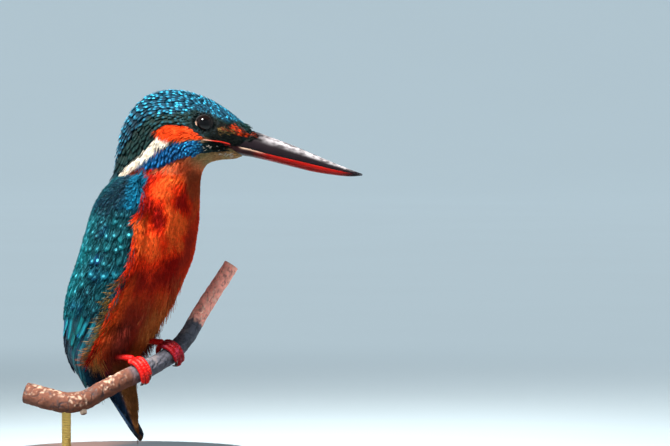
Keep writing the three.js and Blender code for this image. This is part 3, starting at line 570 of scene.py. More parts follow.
NECK_PATCH = ((15.0, 111.6), (0.6, 99.4))
COLLAR_LINES = [((2.4, 99.2), (9.4, 102.2)), ((8.0, 100.4), (13.0, 100.9))]
LORE = {"x": 38.6, "z": 114.3, "long": 4.8, "high": 1.5, "tilt": math.radians(-14)}


def near_patch(x, z, ends, widths):
    """How near points are to a straight patch: 1 on its middle line, 0 at its half width, below 0 outside."""
    (x0, z0), (x1, z1) = ends
    span = np.array([x1 - x0, z1 - z0])
    share = np.clip(((x - x0) * span[0] + (z - z0) * span[1]) / (span @ span), 0, 1)
    away = np.hypot(x - x0 - share * span[0], z - z0 - share * span[1])
    return 1 - away / (widths[0] + (widths[1] - widths[0]) * share)


def from_back(bearing):
    """How many degrees a bearing lies from the back, on either side."""
    return np.degrees(np.arccos(np.clip(np.cos(bearing), -1, 1)))


def wing_turn(point):
    """The bearings of points round the folded wing in degrees from ahead, and its rings and edges at their
    heights."""
    ring, edge = by_height(WING_RINGS, point[..., 2]), by_height(WING_EDGES, point[..., 2])
    return np.degrees(np.arctan2(np.abs(point[..., 1]), point[..., 0] - ring[..., 0])), ring, edge


def tilted(x, z, place):
    """How far points lie from a place along its tilted axis and across it."""
    cos, sin = math.cos(place["tilt"]), math.sin(place["tilt"])
    dx, dz = x - place["x"], z - place["z"]
    return dx * cos + dz * sin, dz * cos - dx * sin


class Coat:
    """The coat's colour at places, and how far it is soft barbs (1) and not scale-like feathers (0)."""

    def __init__(self, tint, soft):
        self.tint, self.soft = tint, soft

    def lay(self, tint, weight, soft=None):
        self.tint = paint(self.tint, tint, weight)
        if soft is not None:
            self.soft = mix(self.soft, soft, weight)


def rufous(point, dye):
    """The breast's bright and deep blotches: soft noise about five millimetres wide, and round clumps that
    fade as exp of minus the distance's square."""
    patchy = 0.7 * noise(point * (1, 1, 0.8), 5.2, 5) + 0.3 * noise(point, 11.0, 7)
    for at, bearing, size, strength in CLUMPS:
        away = point - body_plain(np.array(at), np.radians(-bearing))
        patchy = patchy + strength * np.exp(-(away * away).sum(-1) / size**2)
    fine = noise(point, 2.0, 6)
    deep = paint(dye.breast, dye.breast_deep, smooth(-patchy - 0.3 * fine, 0.0, 0.45))
    # The bright blotches fade out low down, partly a painted shade there.
    light = smooth(patchy + 0.3 * fine, 0.05, 0.5) * (1 - 0.7 * smooth(72 - point[..., 2], -6, 26))
    return paint(deep, dye.breast_light, light)


def lay_belly(coat, spot, dye):
    """Rufous in blotches, darker low down (partly its own colour and partly painted shade), brighter along the
    wing's edge (partly painted light), with a painted shade down the breast's middle and gold low in front."""
    height, front = spot.point[..., 2], spot.front
    # Darker low on the belly's front: partly its own colour, partly painted shade.
    low = smooth(71 - height, -4, 21) * smooth(front, 96, 122)
    coat.tint = paint(rufous(spot.point, dye), dye.belly, low * (1 - 0.55 * smooth(front, 150, 172)))
    # A brighter band along the wing's front edge: partly painted light on the flank that faces the lamp.
    turn, ring, edge = wing_turn(spot.point)
    beside = np.radians(edge[..., 0] - turn) * ring[..., 1]
    band = fade(beside, 2.0, 7.0) * smooth(70 - height, 0, 10) * fade(front, 122, 140)
    bright = paint(dye.breast_light, dye.flank_gold, smooth(40 - height, 0, 4))
    coat.lay(bright, band * (0.75 + 0.25 * spot.fine))
    # A painted shade down the breast's middle, reaching further on its left side.
    off = np.degrees(spot.bearing - math.pi)
    midline_shade = fade(np.where(off < 0, -0.4 * off, off), 4, 15)
    midline_shade = midline_shade * smooth(spot.at, 8.5, 9.5) * fade(spot.at, 12, 14)
    coat.lay(dye.belly, 0.6 * midline_shade)
    golden = smooth(front, 146, 170) * smooth(66 - height, 0, 14)
    coat.lay(dye.flank_gold * (0.42, 0.3, 0.22), 0.6 * golden)


def lay_back(coat, spot, dye):
    """The back, dark at the mantle and azure down to the tail, and the brown under the tail."""
    at, front = spot.at, spot.front
    azure = paint(dye.azure, dye.back_blue, 0.5 + 0.5 * spot.fine)
    azure = paint(azure, dye.wing_ground, fade(at, PLACE["collar"], PLACE["breast"]))
    azure = paint(azure, dye.tail_navy, smooth(at, 15.8, 17.2))
    coat.lay(azure, fade(front, 62, 80), 0.0)
    under = paint(dye.tail_brown, dye.tail_navy, fade(front, 100, 125))
    coat.lay(under, smooth(at, 15.6, 17.2) * smooth(front, 50, 62))


def lay_throat(coat, spot, dye):
    """The throat, buff and then warm, darker at its lower front as a painted shade, with a pale fringe, and the
    blue that runs on from the wing's wrist."""
    at, front = spot.at, spot.front
    throat = paint(dye.chin, dye.throat, smooth(at, 4.0, 8.0) * 0.85 + 0.15 * spot.fine)
    # A painted shade darkens the lower throat's front.
    throat = throat * (1 - 0.5 * smooth(front, 136, 160) * smooth(at, 6.2, 8.0))[..., None]
    bib = np.interp(front, *BIB)
    coat.lay(throat, fade(at, bib - 0.3, bib + 0.3) * smooth(front, 86, 100))
    fringe = np.clip(1 - np.abs(at - bib) / 0.28, 0, 1) * smooth(front, 90, 98) * fade(front, 126, 138)
    coat.lay(dye.chin, 0.55 * fringe)
    wrist = 1 - np.hypot((front - 84) / 15, (at - 9.3) / 0.7)
    coat.lay(dye.shoulder, smooth(wrist, 0.1, 0.18), 0.8)


def lay_lores(coat, spot, dye):
    """An orange spot before the eye over a black line, and a pale fleck between it and the eye."""
    x, z, point = spot.x, spot.z, spot.point
    along, above = tilted(x, z, LORE)
    face = smooth(x, 29.0, 30.5) * spot.side
    black = face * smooth(np.interp(x, *CROWN_EDGE) - z, 0.2, 0.9) * smooth(z, 107.5, 108.5)
    coat.lay(dye.lore_black, black, 0.5)
    orange = smooth(1 - np.hypot(along / LORE["long"], above / LORE["high"]), -0.1, 0.25) * face
    mottled = paint(dye.ear * 0.8, dye.belly * 0.27, smooth(noise(point, 0.9, 11), -0.2, 0.5))
    coat.lay(mottled, orange, 0.8)
    fleck = 1 - np.hypot((x - LORE["x"] + 4.6) / 1.9, (z - LORE["z"] - 0.2) / 1.3)
    fleck = smooth(fleck, -0.1, 0.5) * face
    coat.lay(dye.flank_gold * 0.55, fleck * 0.75 * smooth(noise(point, 0.7, 12), -0.3, 0.5))
    return orange


def lay_head(coat, spot, dye):
    """The head's markings. Returns its beads' colour and strength."""
    x, z, at, front, fine, side = spot.x, spot.z, spot.at, spot.front, spot.fine, spot.side
    head = fade(at, 8.6, 9.6)
    upper = head * fade(front, 100, 118)

    # The dark band through the cheek and the side of the neck, and the crown over it, darker at its rear.
    malar_top, malar_low = np.interp(x, *MALAR_TOP), np.interp(x, *MALAR_LOW)
    band = upper * smooth(z - malar_top, -0.4, 0.4)
    coat.lay(dye.band, band, 0.15)
    crown = head * smooth(z - np.interp(x, *CROWN_EDGE), -0.5, 0.5) * fade(front, 84, 100)
    rear = 1 - 0.68 * smooth(at, 4.8, 7.0) * smooth(front, 14, 52)
    coat.lay(dye.crown * rear[..., None], crown, 0.0)

    # The moustache stripe of blue, dark towards the bill.
    malar = smooth(np.minimum(z - malar_low, malar_top - z), -0.25, 0.25) * smooth(x, 5.0, 7.0) * head
    dark = smooth(x, 24.5, 28.5)
    coat.lay(paint(dye.malar, dye.band, dark), malar, 0.0)

    # A brown line under its lower end, and a dark ring round the eye.
    brown = np.maximum(*(near_patch(x, z, ends, (0.9, 0.7)) for ends in COLLAR_LINES))
    brown = smooth(brown, 0.0, 0.4) * side
    coat.lay(dye.throat * 0.2, brown, 0.6)
    ring = fade(np.hypot(x - EYE["x"], z - EYE["z"]) - EYE_OPENING, 0.5, 2.2) * side
    coat.lay(dye.lore_black, 0.85 * ring)

    # The orange ear coverts, and the white patch that runs down the neck behind them.
    white = smooth(near_patch(x, z, NECK_PATCH, (2.1, 1.5)), -0.12, 0.22) * side
    coat.lay(paint(dye.neck_white, dye.chin, smooth(fine, 0.0, 1.0) * 0.5), white, 1.0)
    ear = smooth(np.minimum(np.interp(x, *EAR_TOP) - z, z - np.interp(x, *EAR_LOW)), -0.2, 0.35) * side * head
    ear = ear * smooth(x, 9.8, 10.8) * fade(x, 27.2, 28.2)
    coat.lay(paint(dye.ear, dye.breast_light, smooth(fine, 0.1, 1.0) * 0.6), ear, 1.0)
    orange = lay_lores(coat, spot, dye)

    stripe = malar * (1 - dark) * (1 - 0.6 * smooth(at, 6.3, 7.8))
    strength = np.clip(crown * (1 - 0.2 * smooth(x, 28, 35)) + stripe + 0.12 * band, 0, 1)
    strength = strength * (1 - white) * (1 - ear) * (1 - orange) * (1 - brown) * rear**2
    return paint(dye.crown_bead, dye.malar_bead, malar), strength * (1 - 0.25 * smooth(at, 5, 7))


def markings(at, bearing, dye):
    """The colours at places on the body: the ground, the bead, the bead's strength, and how soft the coat is."""
    point = body_plain(at, bearing)
    front = from_back(bearing)
    x, z = (point[..., i] + 0.6 * noise(point, 2.2, seed) for i, seed in ((0, 3), (2, 4)))
    spot = SimpleNamespace(at=at, bearing=bearing, point=point, front=front, x=x, z=z, fine=noise(point, 2.0, 6))
    spot.side = smooth(front, 32, 50)
    coat = Coat(None, np.ones_like(front))
    for lay in (lay_belly, lay_back, lay_throat):
        lay(coat, spot, dye)
    bead, strength = lay_head(coat, spot, dye)
    return coat.tint, bead, strength, coat.soft


# ---- Settings ----
def colour(name, description, red, green, blue):
    """A colour property whose default is given as sRGB bytes."""
    return FloatVectorProperty(
        name=name, description=description, subtype="COLOR", size=3, min=0, max=1, default=linear(red, green, blue)
    )


def factor(name, description, default, low=0.0, high=1.0):
    return FloatProperty(name=name, description=description, subtype="FACTOR", default=default, min=low, max=high)


def distance(name, description, default, **more):
    return FloatProperty(name=name, description=description, default=default, unit="LENGTH", **more)


def angle(name, description, degrees):
    return FloatProperty(name=name, description=description, default=math.radians(degrees), subtype="ANGLE")


class PlumageColours(bpy.types.PropertyGroup):
    """The ground colours and spots of the plumage."""

    crown: colour("Crown", "Ground of the crown and nape", 6, 58, 80)
    crown_bead: colour("Crown spots", "Spots on the crown and nape", 44, 150, 186)
    band: colour("Cheek band", "Dark band behind the eye and down the neck", 9, 36, 34)
    ear: colour("Ear coverts", "Orange behind and before the eye", 228, 68, 16)
    neck_white: colour("Neck patch", "White patch on the side of the neck", 252, 243, 226)
    malar: colour("Moustache", "Ground of the moustache stripe", 4, 82, 136)
    malar_bead: colour("Moustache spots", "Spots on the moustache stripe", 44, 162, 214)
    chin: colour("Chin", "Buff of the chin", 172, 136, 92)
    throat: colour("Throat", "Warm buff of the lower throat", 232, 88, 42)
    lore_black: colour("Lores", "Black line before the eye", 16, 22, 20)
    breast: colour("Breast", "Rufous of the breast", 248, 56, 8)
    breast_light: colour("Breast light", "Lighter blotches on the breast", 255, 104, 38)
    breast_deep: colour("Breast deep", "Deeper blotches on the breast", 166, 15, 3)
    belly: colour("Belly", "Dark rufous low on the belly", 142, 42, 26)
    flank_gold: colour("Flank gold", "Pale hair-like strands at the wing's edge", 226, 178, 98)
    azure: colour("Back", "Azure of the back and rump", 52, 190, 224)
    back_blue: colour("Back deep", "Deeper blue of the back", 10, 120, 200)
    wing_ground: colour("Wing", "Dark ground of the wing", 4, 44, 54)
    wing_teal: colour("Wing teal", "Brighter teal of the wing", 6, 104, 112)
    wing_bead: colour("Wing spots", "Spots on the wing coverts", 74, 176, 196)
    wing_navy: colour("Wing navy", "Dark inner webs and tips", 8, 34, 58)
    shoulder: colour("Shoulder", "Blue patch over the wing's wrist", 4, 100, 134)
    tail_navy: colour("Tail", "Upper side of the tail", 7, 32, 56)
    tail_brown: colour("Under tail", "Under side of the tail", 126, 82, 44)


class HardColours(bpy.types.PropertyGroup):
    """The colours of the bill, eyes, feet, perch and stand."""

    bill_black: colour("Upper bill", "Horn of the upper bill", 17, 9, 14)
    bill_red: colour("Lower bill", "Red of the lower bill", 126, 8, 2)
    # Painted sheen: the bill's colour takes this along its ridge, where light catches the horn.
    bill_sheen: colour("Bill sheen", "Worn horn along the bill's ridge", 150, 146, 150)
    gape: colour("Gape", "Pale red line of the gape", 176, 34, 22)
    iris: colour("Iris", "Dark brown iris", 16, 8, 7)
    lid: colour("Lid", "Bare rim of the eye", 14, 13, 14)
    foot: colour("Foot", "Scarlet of the toes", 178, 8, 6)
    # Painted highlight: the paler colour laid on the fronts of the toes' and shanks' scutes; the claws' roots take
    # it too, darkened.
    foot_pale: colour("Foot scutes", "Paler scutes on the toes", 232, 92, 74)
    claw: colour("Claw", "Horn of the claws", 24, 18, 20)
    bark_tan: colour("Bark", "Pinkish tan bark", 88, 46, 28)
    # A cream that is partly weathered bark and partly a painted highlight on the branch's top; the bill's edge, the
    # gape and the twigs use it too.
    bark_cream: colour("Bark highlights", "Cream weathered bark", 214, 184, 160)
    # Painted shadow: the branch between the feet takes this grey as the bird's shadow; darkened, it also marks the
    # bark's patches, its cracks and the twigs' broken ends.
    shadow_and_bark_grey: colour("Bark grey", "Grey bark between the feet", 70, 70, 80)
    bark_pink: colour("Bark pink", "Pink bark of the upright end", 232, 146, 128)
    wood: colour("Cut wood", "Pale wood of the sawn ends", 214, 176, 128)
    walnut: colour("Base", "Walnut of the stand's base", 84, 50, 30)
    brass: colour("Rod", "Brass of the stand's rod", 196, 158, 86)


class CoatSettings(bpy.types.PropertyGroup):
    """How the coat is laid."""

    rows: factor("Row spacing", "Distance between rows of feathers, as a share of their length", 0.22, 0.15, 0.6)
    barbs: IntProperty(name="Barb pairs", description="Pairs of barbs in a soft tuft", default=6, min=2, max=8)
    barb_width: distance("Barb width", "Half width of a barb", 0.00015, precision=6)
    unevenness: factor("Unevenness", "How far feathers stray from their rows' direction", 0.22)


class StageSettings(bpy.types.PropertyGroup):
    """The camera and the light."""

    azimuth: angle("Azimuth", "Camera's turn round the model", 28)
    elevation: angle("Elevation", "Camera's height angle", 2)
    distance: distance("Distance", "Camera to its target", 1.5)
    frame_width: distance("Frame width", "What the picture spans at the target", 0.2211)
    key: FloatProperty(name="Key light", description="Power of the key light in watts", default=2.8, min=0)
    fill: FloatProperty(name="Fill light", description="Power of the fill light in watts", default=0.06, min=0)
    floor: colour("Floor", "Pale floor", 150, 164, 172)


class KingfisherSettings(bpy.types.PropertyGroup):
    """All settings of the model."""

    plumage: PointerProperty(type=PlumageColours)
    hard: PointerProperty(type=HardColours)
    coat: PointerProperty(type=CoatSettings)
    stage: PointerProperty(type=StageSettings)


def palette(group):
    """A settings group's colours as arrays."""
    return SimpleNamespace(**{key: np.array(getattr(group, key)) for key in type(group).__annotations__})


# ---- Materials ----
class Shader:
    """A material's node tree, put together a node at a time."""

    def __init__(self, name, rough=0.5, specular=0.5, **surface):
        self.material = bpy.data.materials.new(name)
        self.material.use_nodes = True
        self.tree = self.material.node_tree
        self.surface = self.tree.nodes["Principled BSDF"].inputs
        for socket, value in {"Roughness": rough, "Specular_IOR_Level": specular, **surface}.items():
            self.surface[socket.replace("_", " ")].default_value = value

    def add(self, kind, inputs=None, **settings):
        node = self.tree.nodes.new("ShaderNode" + kind)
        for key, value in settings.items():
            setattr(node, key, value)
        for key, value in (inputs or {}).items():
            if isinstance(value, bpy.types.NodeSocket):
                self.tree.links.new(value, node.inputs[key])
            else:
                node.inputs[key].default_value = value
        return node

    def math(self, operation, *values):
        return self.add("Math", dict(enumerate(values)), operation=operation).outputs[0]

    def plus(self, a, b):
        return self.math("ADD", a, b)

    def times(self, product, *values):
        for value in values:
            product = self.math("MULTIPLY", product, value)
        return product

    def ramp(self, value, low, high, to_low=0.0, to_high=1.0):
        """Goes smoothly from one value to another as its input goes from low to high."""
        inputs = {"Value": value, "From Min": low, "From Max": high, "To Min": to_low, "To Max": to_high}
        return self.add("MapRange", inputs, interpolation_type="SMOOTHSTEP").outputs["Result"]

    def mixed(self, weight, a, b):
        return self.add("Mix", {0: weight, 6: a, 7: b}, data_type="RGBA").outputs[2]

    def attribute(self, name, output="Color"):
        return self.add("Attribute", attribute_name=name).outputs[output]

    def split(self, vector):
        return self.add("SeparateXYZ", {0: vector}).outputs

    def place(self):
        return self.add("TexCoord").outputs["Object"]

    def uniform(self, tint):
        return self.add("CombineXYZ", dict(enumerate(float(part) for part in tint))).outputs[0]

    def noise(self, per_metre, detail=3.0, stretch=(1, 1, 1)):
        placed = self.add("Mapping", {"Vector": self.place(), "Scale": stretch}).outputs[0]
        return self.add("TexNoise", {"Vector": placed, "Scale": per_metre, "Detail": detail}).outputs["Fac"]

    def scaled(self, tint, factor):
        return self.add("VectorMath", {0: tint, "Scale": factor}, operation="SCALE").outputs[0]

    def link(self, output, socket="Base Color"):
        self.tree.links.new(output, self.surface[socket])

    def bump(self, height, distance, strength=1.0):
        made = self.add("Bump", {"Height": height, "Distance": distance, "Strength": strength})
        self.link(made.outputs[0], "Normal")

    def vane(self):
        """A feather's own places: across its vane, how far from the shaft, along it, and its chance number."""
        across, along, lot = self.split(self.attribute("vane", "Vector"))
        return across, self.math("ABSOLUTE", across), along, lot

    def webs(self, weight, barbs, bump, *shades):
        """The tint, or the bead's colour by a weight, times the shades, with the barbs in the bump."""
        tint = self.mixed(weight, self.attribute("tint"), self.attribute("bead"))
        self.link(self.scaled(tint, self.times(*shades)))
        self.bump(barbs, *bump)
        return self.material


def feather_material(name, spot_at, spot_size, lines, rough, specular):
    """Feathers in their own tint, each with a round spot in its bead colour near the tip, a darker edge and
    fine slanting barbs."""
    shader = Shader(name, rough, specular)
    across, beside, along, lot = shader.vane()
    dx = shader.math("DIVIDE", across, spot_size[0])
    dy = shader.math("DIVIDE", shader.math("SUBTRACT", along, spot_at), spot_size[1])
    away = shader.math("SQRT", shader.plus(shader.times(dx, dx), shader.times(dy, dy)))
    spot = shader.times(shader.ramp(away, 0.55, 1.1, 1.0, 0.0), shader.attribute("bead", "Alpha"))
    slant = shader.plus(shader.times(along, lines), shader.times(beside, -0.3 * lines))
    barbs = shader.math("SINE", shader.plus(slant, shader.times(lot, 40.0)))
    edge, uneven = shader.ramp(beside, 0.45, 1.0, 1.0, 0.72), shader.ramp(shader.noise(700.0), 0.3, 0.7, 0.8, 1.15)
    return shader.webs(spot, barbs, (0.00004, 0.6), edge, uneven, shader.math("MULTIPLY_ADD", barbs, 0.06, 1.0))


def web_material(name, rough, specular):
    """Long feathers: the outer web in the tint, the inner web in the bead colour, a dark shaft and streaks."""
    shader = Shader(name, rough, specular)
    across, beside, along, lot = shader.vane()
    place = dict(enumerate(shader.times(part, scale) for part, scale in ((beside, 7.0), (along, 9.0), (lot, 50.0))))
    place = shader.add("CombineXYZ", place).outputs[0]
    streak = shader.add("TexNoise", {"Vector": place, "Scale": 1.0, "Detail": 4.0}).outputs["Fac"]
    inner = shader.ramp(shader.plus(across, shader.math("MULTIPLY_ADD", streak, 0.5, -0.25)), -0.1, 0.2)
    barbs = shader.math("SINE", shader.plus(shader.times(along, 260.0), shader.times(beside, -60.0)))
    shaft, streaks = shader.ramp(beside, 0.03, 0.12, 0.35, 1.0), shader.ramp(streak, 0.3, 0.7, 0.55, 1.35)
    return shader.webs(inner, barbs, (0.00005, 0.7), shaft, streaks, shader.math("MULTIPLY_ADD", barbs, 0.08, 1.0))


def tail_material():
    """The tail's webs: navy over and brown under, by the way the face looks, with a dark shaft and barbs."""
    shader = Shader("tail_feathers", 0.6, 0.12)
    _, beside, along, _ = shader.vane()
    under = shader.ramp(shader.split(shader.add("NewGeometry").outputs["Normal"])["X"], 0.02, 0.12)
    barbs = shader.math("SINE", shader.plus(shader.times(along, 300.0), shader.times(beside, -50.0)))
    shaft, tip = shader.ramp(beside, 0.03, 0.12, 0.5, 1.0), shader.ramp(along, 0.8, 1.0, 1.0, 0.35)
    return shader.webs(under, barbs, (0.00005, 0.7), shaft, shader.math("MULTIPLY_ADD", barbs, 0.1, 1.0), tip)


def painted_material(name, rough, specular=0.5, per_metre=900.0, stretch=(1, 1, 1), bump=0.00003, **surface):
    """A surface in its own tint with a fine grain in its colour and its bump: so many grains for each metre,
    stretched along x, y and z."""
    shader = Shader(name, rough, specular, **surface)
    speck = shader.noise(per_metre, 5.0, stretch)
    shader.link(shader.scaled(shader.attribute("tint"), shader.ramp(speck, 0.25, 0.75, 0.78, 1.2)))
    shader.bump(speck, bump)
    return shader.material


def shared(name, make, *values):
    """A material that several pieces share, made when the first of them asks for it."""
    return bpy.data.materials.get(name) or make(name, *values)


SOFT = ("soft_feathers", painted_material, 0.8, 0.12)
SCALY = ("crown_feathers", feather_material, 0.74, (0.62, 0.2), 60.0, 0.6, 0.14)
HORN = (painted_material, 0.38, 0.13, 500.0, (0.15, 1, 1), 0.00006)


# ---- The skin ----
class SkinOperator(bpy.types.Operator):
    """Builds the skin under the coat as one closed surface from the bill's root to the tail"""

    bl_idname = "kingfisher.skin"
    bl_label = "Skin"

    def execute(self, context):
        at, bearing = grid(np.linspace(0, LAST, 150), 96)
        points = body_surface(at, bearing, -coat_size(at)[0])
        tint, bead, strength, _ = markings(at, bearing, palette(context.scene.kingfisher.plumage))
        # The skin takes the coat's colours at 0.55: darker as a painted shade in the gaps between the feathers.
        tubes = [(points, paint(tint, bead, 0.1 * strength) * 0.55, False)]
        material = painted_material("skin", 0.9, 0.03, 1400.0, (1, 1, 0.35), 0.0002)
        nodes = ("head", "neck", "torso", "rump")
        tube_piece("body_skin", tubes, material, "body_plumage", *nodes, bake=BODY_CHART.unwrap(at, bearing))
        return {"FINISHED"}


# ---- The body's coat ----
def under_wing(at, bearing, margin):
    """Which places on the body lie under a folded wing, at least `margin` degrees inside its edges."""
    point = body_surface(at, bearing)
    turn, _, edge = wing_turn(point)
    level = (point[..., 2] < 95) & (point[..., 2] > 38)
    return level & (turn > edge[..., 0] + margin) & (turn < edge[..., 1] - margin)


def from_eye(at, bearing):
    """How far a place lies from the edge of the eye's opening."""
    x, _, z = np.moveaxis(body_plain(at, bearing), -1, 0)
    return np.hypot(x - EYE["x"], z - EYE["z"]) - EYE_OPENING


def bare(at, bearing):
    """Which places on the face lie within the bill's root or the eye's opening."""
    x, y, z = np.moveaxis(body_plain(at, bearing), -1, 0)
    ridge, keel, half = (np.interp(x, BILL[:, 0], BILL[:, i]) for i in (1, 3, 4))
    inside = (x > 32) & (np.abs(y) < half - 0.1) & (z < ridge - 0.1) & (z > keel + 0.1)
    return inside | (from_eye(at, bearing) < 0)


def head_places(dye, scaly):
    """Says which places of the head carry scale-like feathers, or else soft tufts, clear of bill, eyes and
    wings."""

    def keep(at, bearing):
        soft = markings(at, bearing, dye)[3] >= 0.3
        return (soft != scaly) & ~bare(at, bearing) & ~under_wing(at, bearing, 6)

    return keep


def clear_of_eye(at, bearing, length):
    """Feather lengths cut down before the eye, so that their tips end at its rim."""
    ahead = body_plain(at, bearing)[..., 0] > EYE["x"] - 1.5
    return np.where(ahead, np.minimum(length, np.maximum(from_eye(at, bearing), 0.5)), length)


def single_feathers(chart, root, yaw, size, rise, widths, section, bend=0.0, arch=0.0):
    """One blade from each root. size is each one's length and half width."""
    path = short_path(chart, *root, yaw, size[0], len(widths), bend)
    return blades(chart, path, root, size[1], rise, widths, section, arch), (path[0][:, -1], path[1][:, -1])


def barb_tufts(chart, root, yaw, size, rise, barbs, thin, random, spread=0.42):
    """Tufts of thin barbs that fan out from each root, the outer ones shorter. size is the tufts' length and
    half width, thin the barbs' half width. Returns the blades, their tips' places, and each one's tuft."""
    fan = np.arange(-barbs, barbs + 1) / barbs
    owner = np.repeat(np.arange(len(yaw)), len(fan))
    out = np.tile(fan, len(yaw)) + random.normal(0, 0.12, len(owner))
    length, half, low, high = (np.broadcast_to(value, yaw.shape)[owner] for value in (*size, *rise))
    length = length * (1 - 0.28 * out**2) * random.uniform(0.8, 1.12, len(owner))
    strayed = random.uniform(-0.2, 0.2, len(owner)) * length
    place = chart.moved(root[0][owner], root[1][owner], strayed, out * half * 0.4)
    turn = yaw[owner] + spread * out + random.normal(0, 0.05, len(owner))
    rise = (low, high + (random.uniform(-0.1, 0.16, len(owner)) - 0.12 * out**2))
    size = (length, thin * random.uniform(0.75, 1.25, len(owner)))
    made, tips = single_feathers(chart, place, turn, size, rise, BARB, HAIR, -0.1 * half * out)
    points, vane, _ = made
    patch = stacked(vane[..., 0] * 0.0003 + out[:, None, None] * 0.0013, vane[..., 1] * 0.003)
    return (points, vane, chart.unwrap(*root)[owner][:, None, None, :] + patch), tips, owner


def coat_tints(root, tips, dye, random, dark=0.55, stray=0.1):
    """Each feather's marking, taken two thirds of the way to its tip, darker at the root and a little uneven."""
    at, bearing = (mix(first, last, 0.65) for first, last in zip(root, tips))
    tint, bead, strength, _ = markings(at, bearing, dye)
    bright = 1 + random.normal(0, stray, len(at))[:, None]
    return (tint * dark * bright, tint * bright), rgba(bead, strength)


class HeadOperator(bpy.types.Operator):
    """Lays small scale-like feathers with light spots over the crown, nape and moustache"""

    bl_idname = "kingfisher.head"
    bl_label = "Crown feathers"

    def execute(self, context):
        settings = context.scene.kingfisher
        dye = palette(settings.plumage)
        at, bearing, random = body_lattice(11, 0.25, 10.2, (0.34, 1.3), head_places(dye, True))
        ahead = BODY_CHART.moved(at, bearing, 0.65 * coat_size(at)[1], 0.0)
        stays = markings(*ahead, dye)[3] < 0.45
        at, bearing = root = at[stays], bearing[stays]
        low = smooth(-np.cos(bearing), -0.2, 0.0) * smooth(at, 3.5, 5.0)
        depth, length, half = coat_size(at)
        length, half = length * (1 - 0.3 * low), half * (1 - 0.3 * low)
        length = clear_of_eye(at, bearing, length * random.uniform(0.92, 1.1, len(at)))
        yaw = random.normal(0, 0.4 * settings.coat.unevenness, len(at))
        rise = (-0.7 * depth, random.uniform(0.0, 0.16, len(at)))
        made, tips = single_feathers(BODY_CHART, root, yaw, (length, half * 0.95), rise, CONTOUR, FLAT_VANE)
        tint, bead = coat_tints(root, tips, dye, random)
        bead[:, :3] *= random.uniform(0.6, 1.5, (len(at), 1)) ** 1.5
        strength = random.uniform(0.25, 1.0, len(at)) ** (1 + low)
        bead[:, 3] *= strength * np.where(at < 3.2, random.random(len(at)) > 0.35, 1)
        lot, material = random.random(len(at)), shared(*SCALY)
        coat_piece("crown_feathers", made, tint, bead, lot, material, "head_plumage")
        return {"FINISHED"}


def tuft_piece(name, region, dye, coat, barbs, thin, sized, tone):
    """Lays tufts over a region of the body. region is the lattice's seed, first and last station, spacing and
    keep, sized scales the lengths, thin the barbs, and tone is the roots' darkness and the barbs' unevenness."""
    at, bearing, random = body_lattice(*region)
    root, place = (at, bearing), body_plain(at, bearing)
    depth, length, half = coat_size(at)
    size = (clear_of_eye(at, bearing, length * sized), half)
    puff = smooth(at, 8.0, 10.5) * (0.5 * noise(place, 5.5, 8) + 0.1)
    rise = (-0.75 * depth, 0.02 + puff)
    yaw = 1.1 * coat.unevenness * noise(place, 4.5, 9) + random.normal(0, 0.4 * coat.unevenness, len(at))
    thin = coat.barb_width / MM * thin
    made, tips, owner = barb_tufts(BODY_CHART, root, yaw, size, rise, barbs, thin, random)
    tint, bead = coat_tints((at[owner], bearing[owner]), tips, dye, random, *tone)
    bead[:, 3] = 0
    lot = random.random(len(owner))
    coat_piece(name, made, tint, bead, lot, shared(*SOFT), "body_plumage")


class FaceOperator(bpy.types.Operator):
    """Lays short soft tufts over the chin, throat, ear coverts and neck patch"""

    bl_idname = "kingfisher.face"
    bl_label = "Face and throat tufts"

    def execute(self, context):
        settings = context.scene.kingfisher
        dye = palette(settings.plumage)
        region = (21, 0.2, 9.4, (0.3, 1.3), head_places(dye, False))
        tuft_piece("face_tufts", region, dye, settings.coat, 3, 0.9, 0.95, (0.7, 0.07))
        return {"FINISHED"}


def face_place(x, z, side):
    """The station and bearing of the head's points at places of its side view, found by Newton's steps."""
    at = np.interp(x, [18.3, 23.1, 27.9, 32.5, 36.7, 40.3], [5.0, 4.0, 3.0, 2.0, 1.0, 0.0])
    bearing = np.full(x.shape, 1.6)
    for _ in range(12):
        here = body_plain(at, bearing)[..., ::2]
        by_at = (body_plain(at + 1e-4, bearing)[..., ::2] - here) * 1e4
        by_turn = (body_plain(at, bearing + 1e-4)[..., ::2] - here) * 1e4
        miss = stacked(x, z) - here
        area = by_at[..., 0] * by_turn[..., 1] - by_at[..., 1] * by_turn[..., 0]
        at = at + (miss[..., 0] * by_turn[..., 1] - miss[..., 1] * by_turn[..., 0]) / area
        bearing = bearing + (by_at[..., 0] * miss[..., 1] - by_at[..., 1] * miss[..., 0]) / area
    return at, bearing if side > 0 else TAU - bearing


def eye_feathers(name, side, dye, random):
    """Feathers about a millimetre long round the eye's opening, cut short where they point at it."""
    count = EYE_FEATHERS
    turn, out = random.uniform(0, TAU, count), EYE_OPENING + 0.35 + 2.6 * random.random(count) ** 1.4
    root = face_place(EYE["x"] + out * np.cos(turn), EYE["z"] + out * np.sin(turn), side)
    length = np.minimum(random.uniform(0.9, 1.4, count), np.where(np.cos(turn) > 0.2, out - EYE_OPENING + 0.1, 9))
    rise = (-0.35, random.uniform(0.0, 0.16, count))
    size, yaw = (length, random.uniform(0.26, 0.36, count)), random.normal(0, 0.12, count)
    made, tips = single_feathers(BODY_CHART, root, yaw, size, rise, CONTOUR, FLAT_VANE)
    tint, bead = coat_tints(root, tips, dye, random, 0.7)
    bead[:, 3] *= 0.5 * random.random(count)
    lot, material = random.random(count), shared(*SCALY)
    coat_piece(f"eye_feathers_{name}", made, tint, bead, lot, material, "head_plumage")


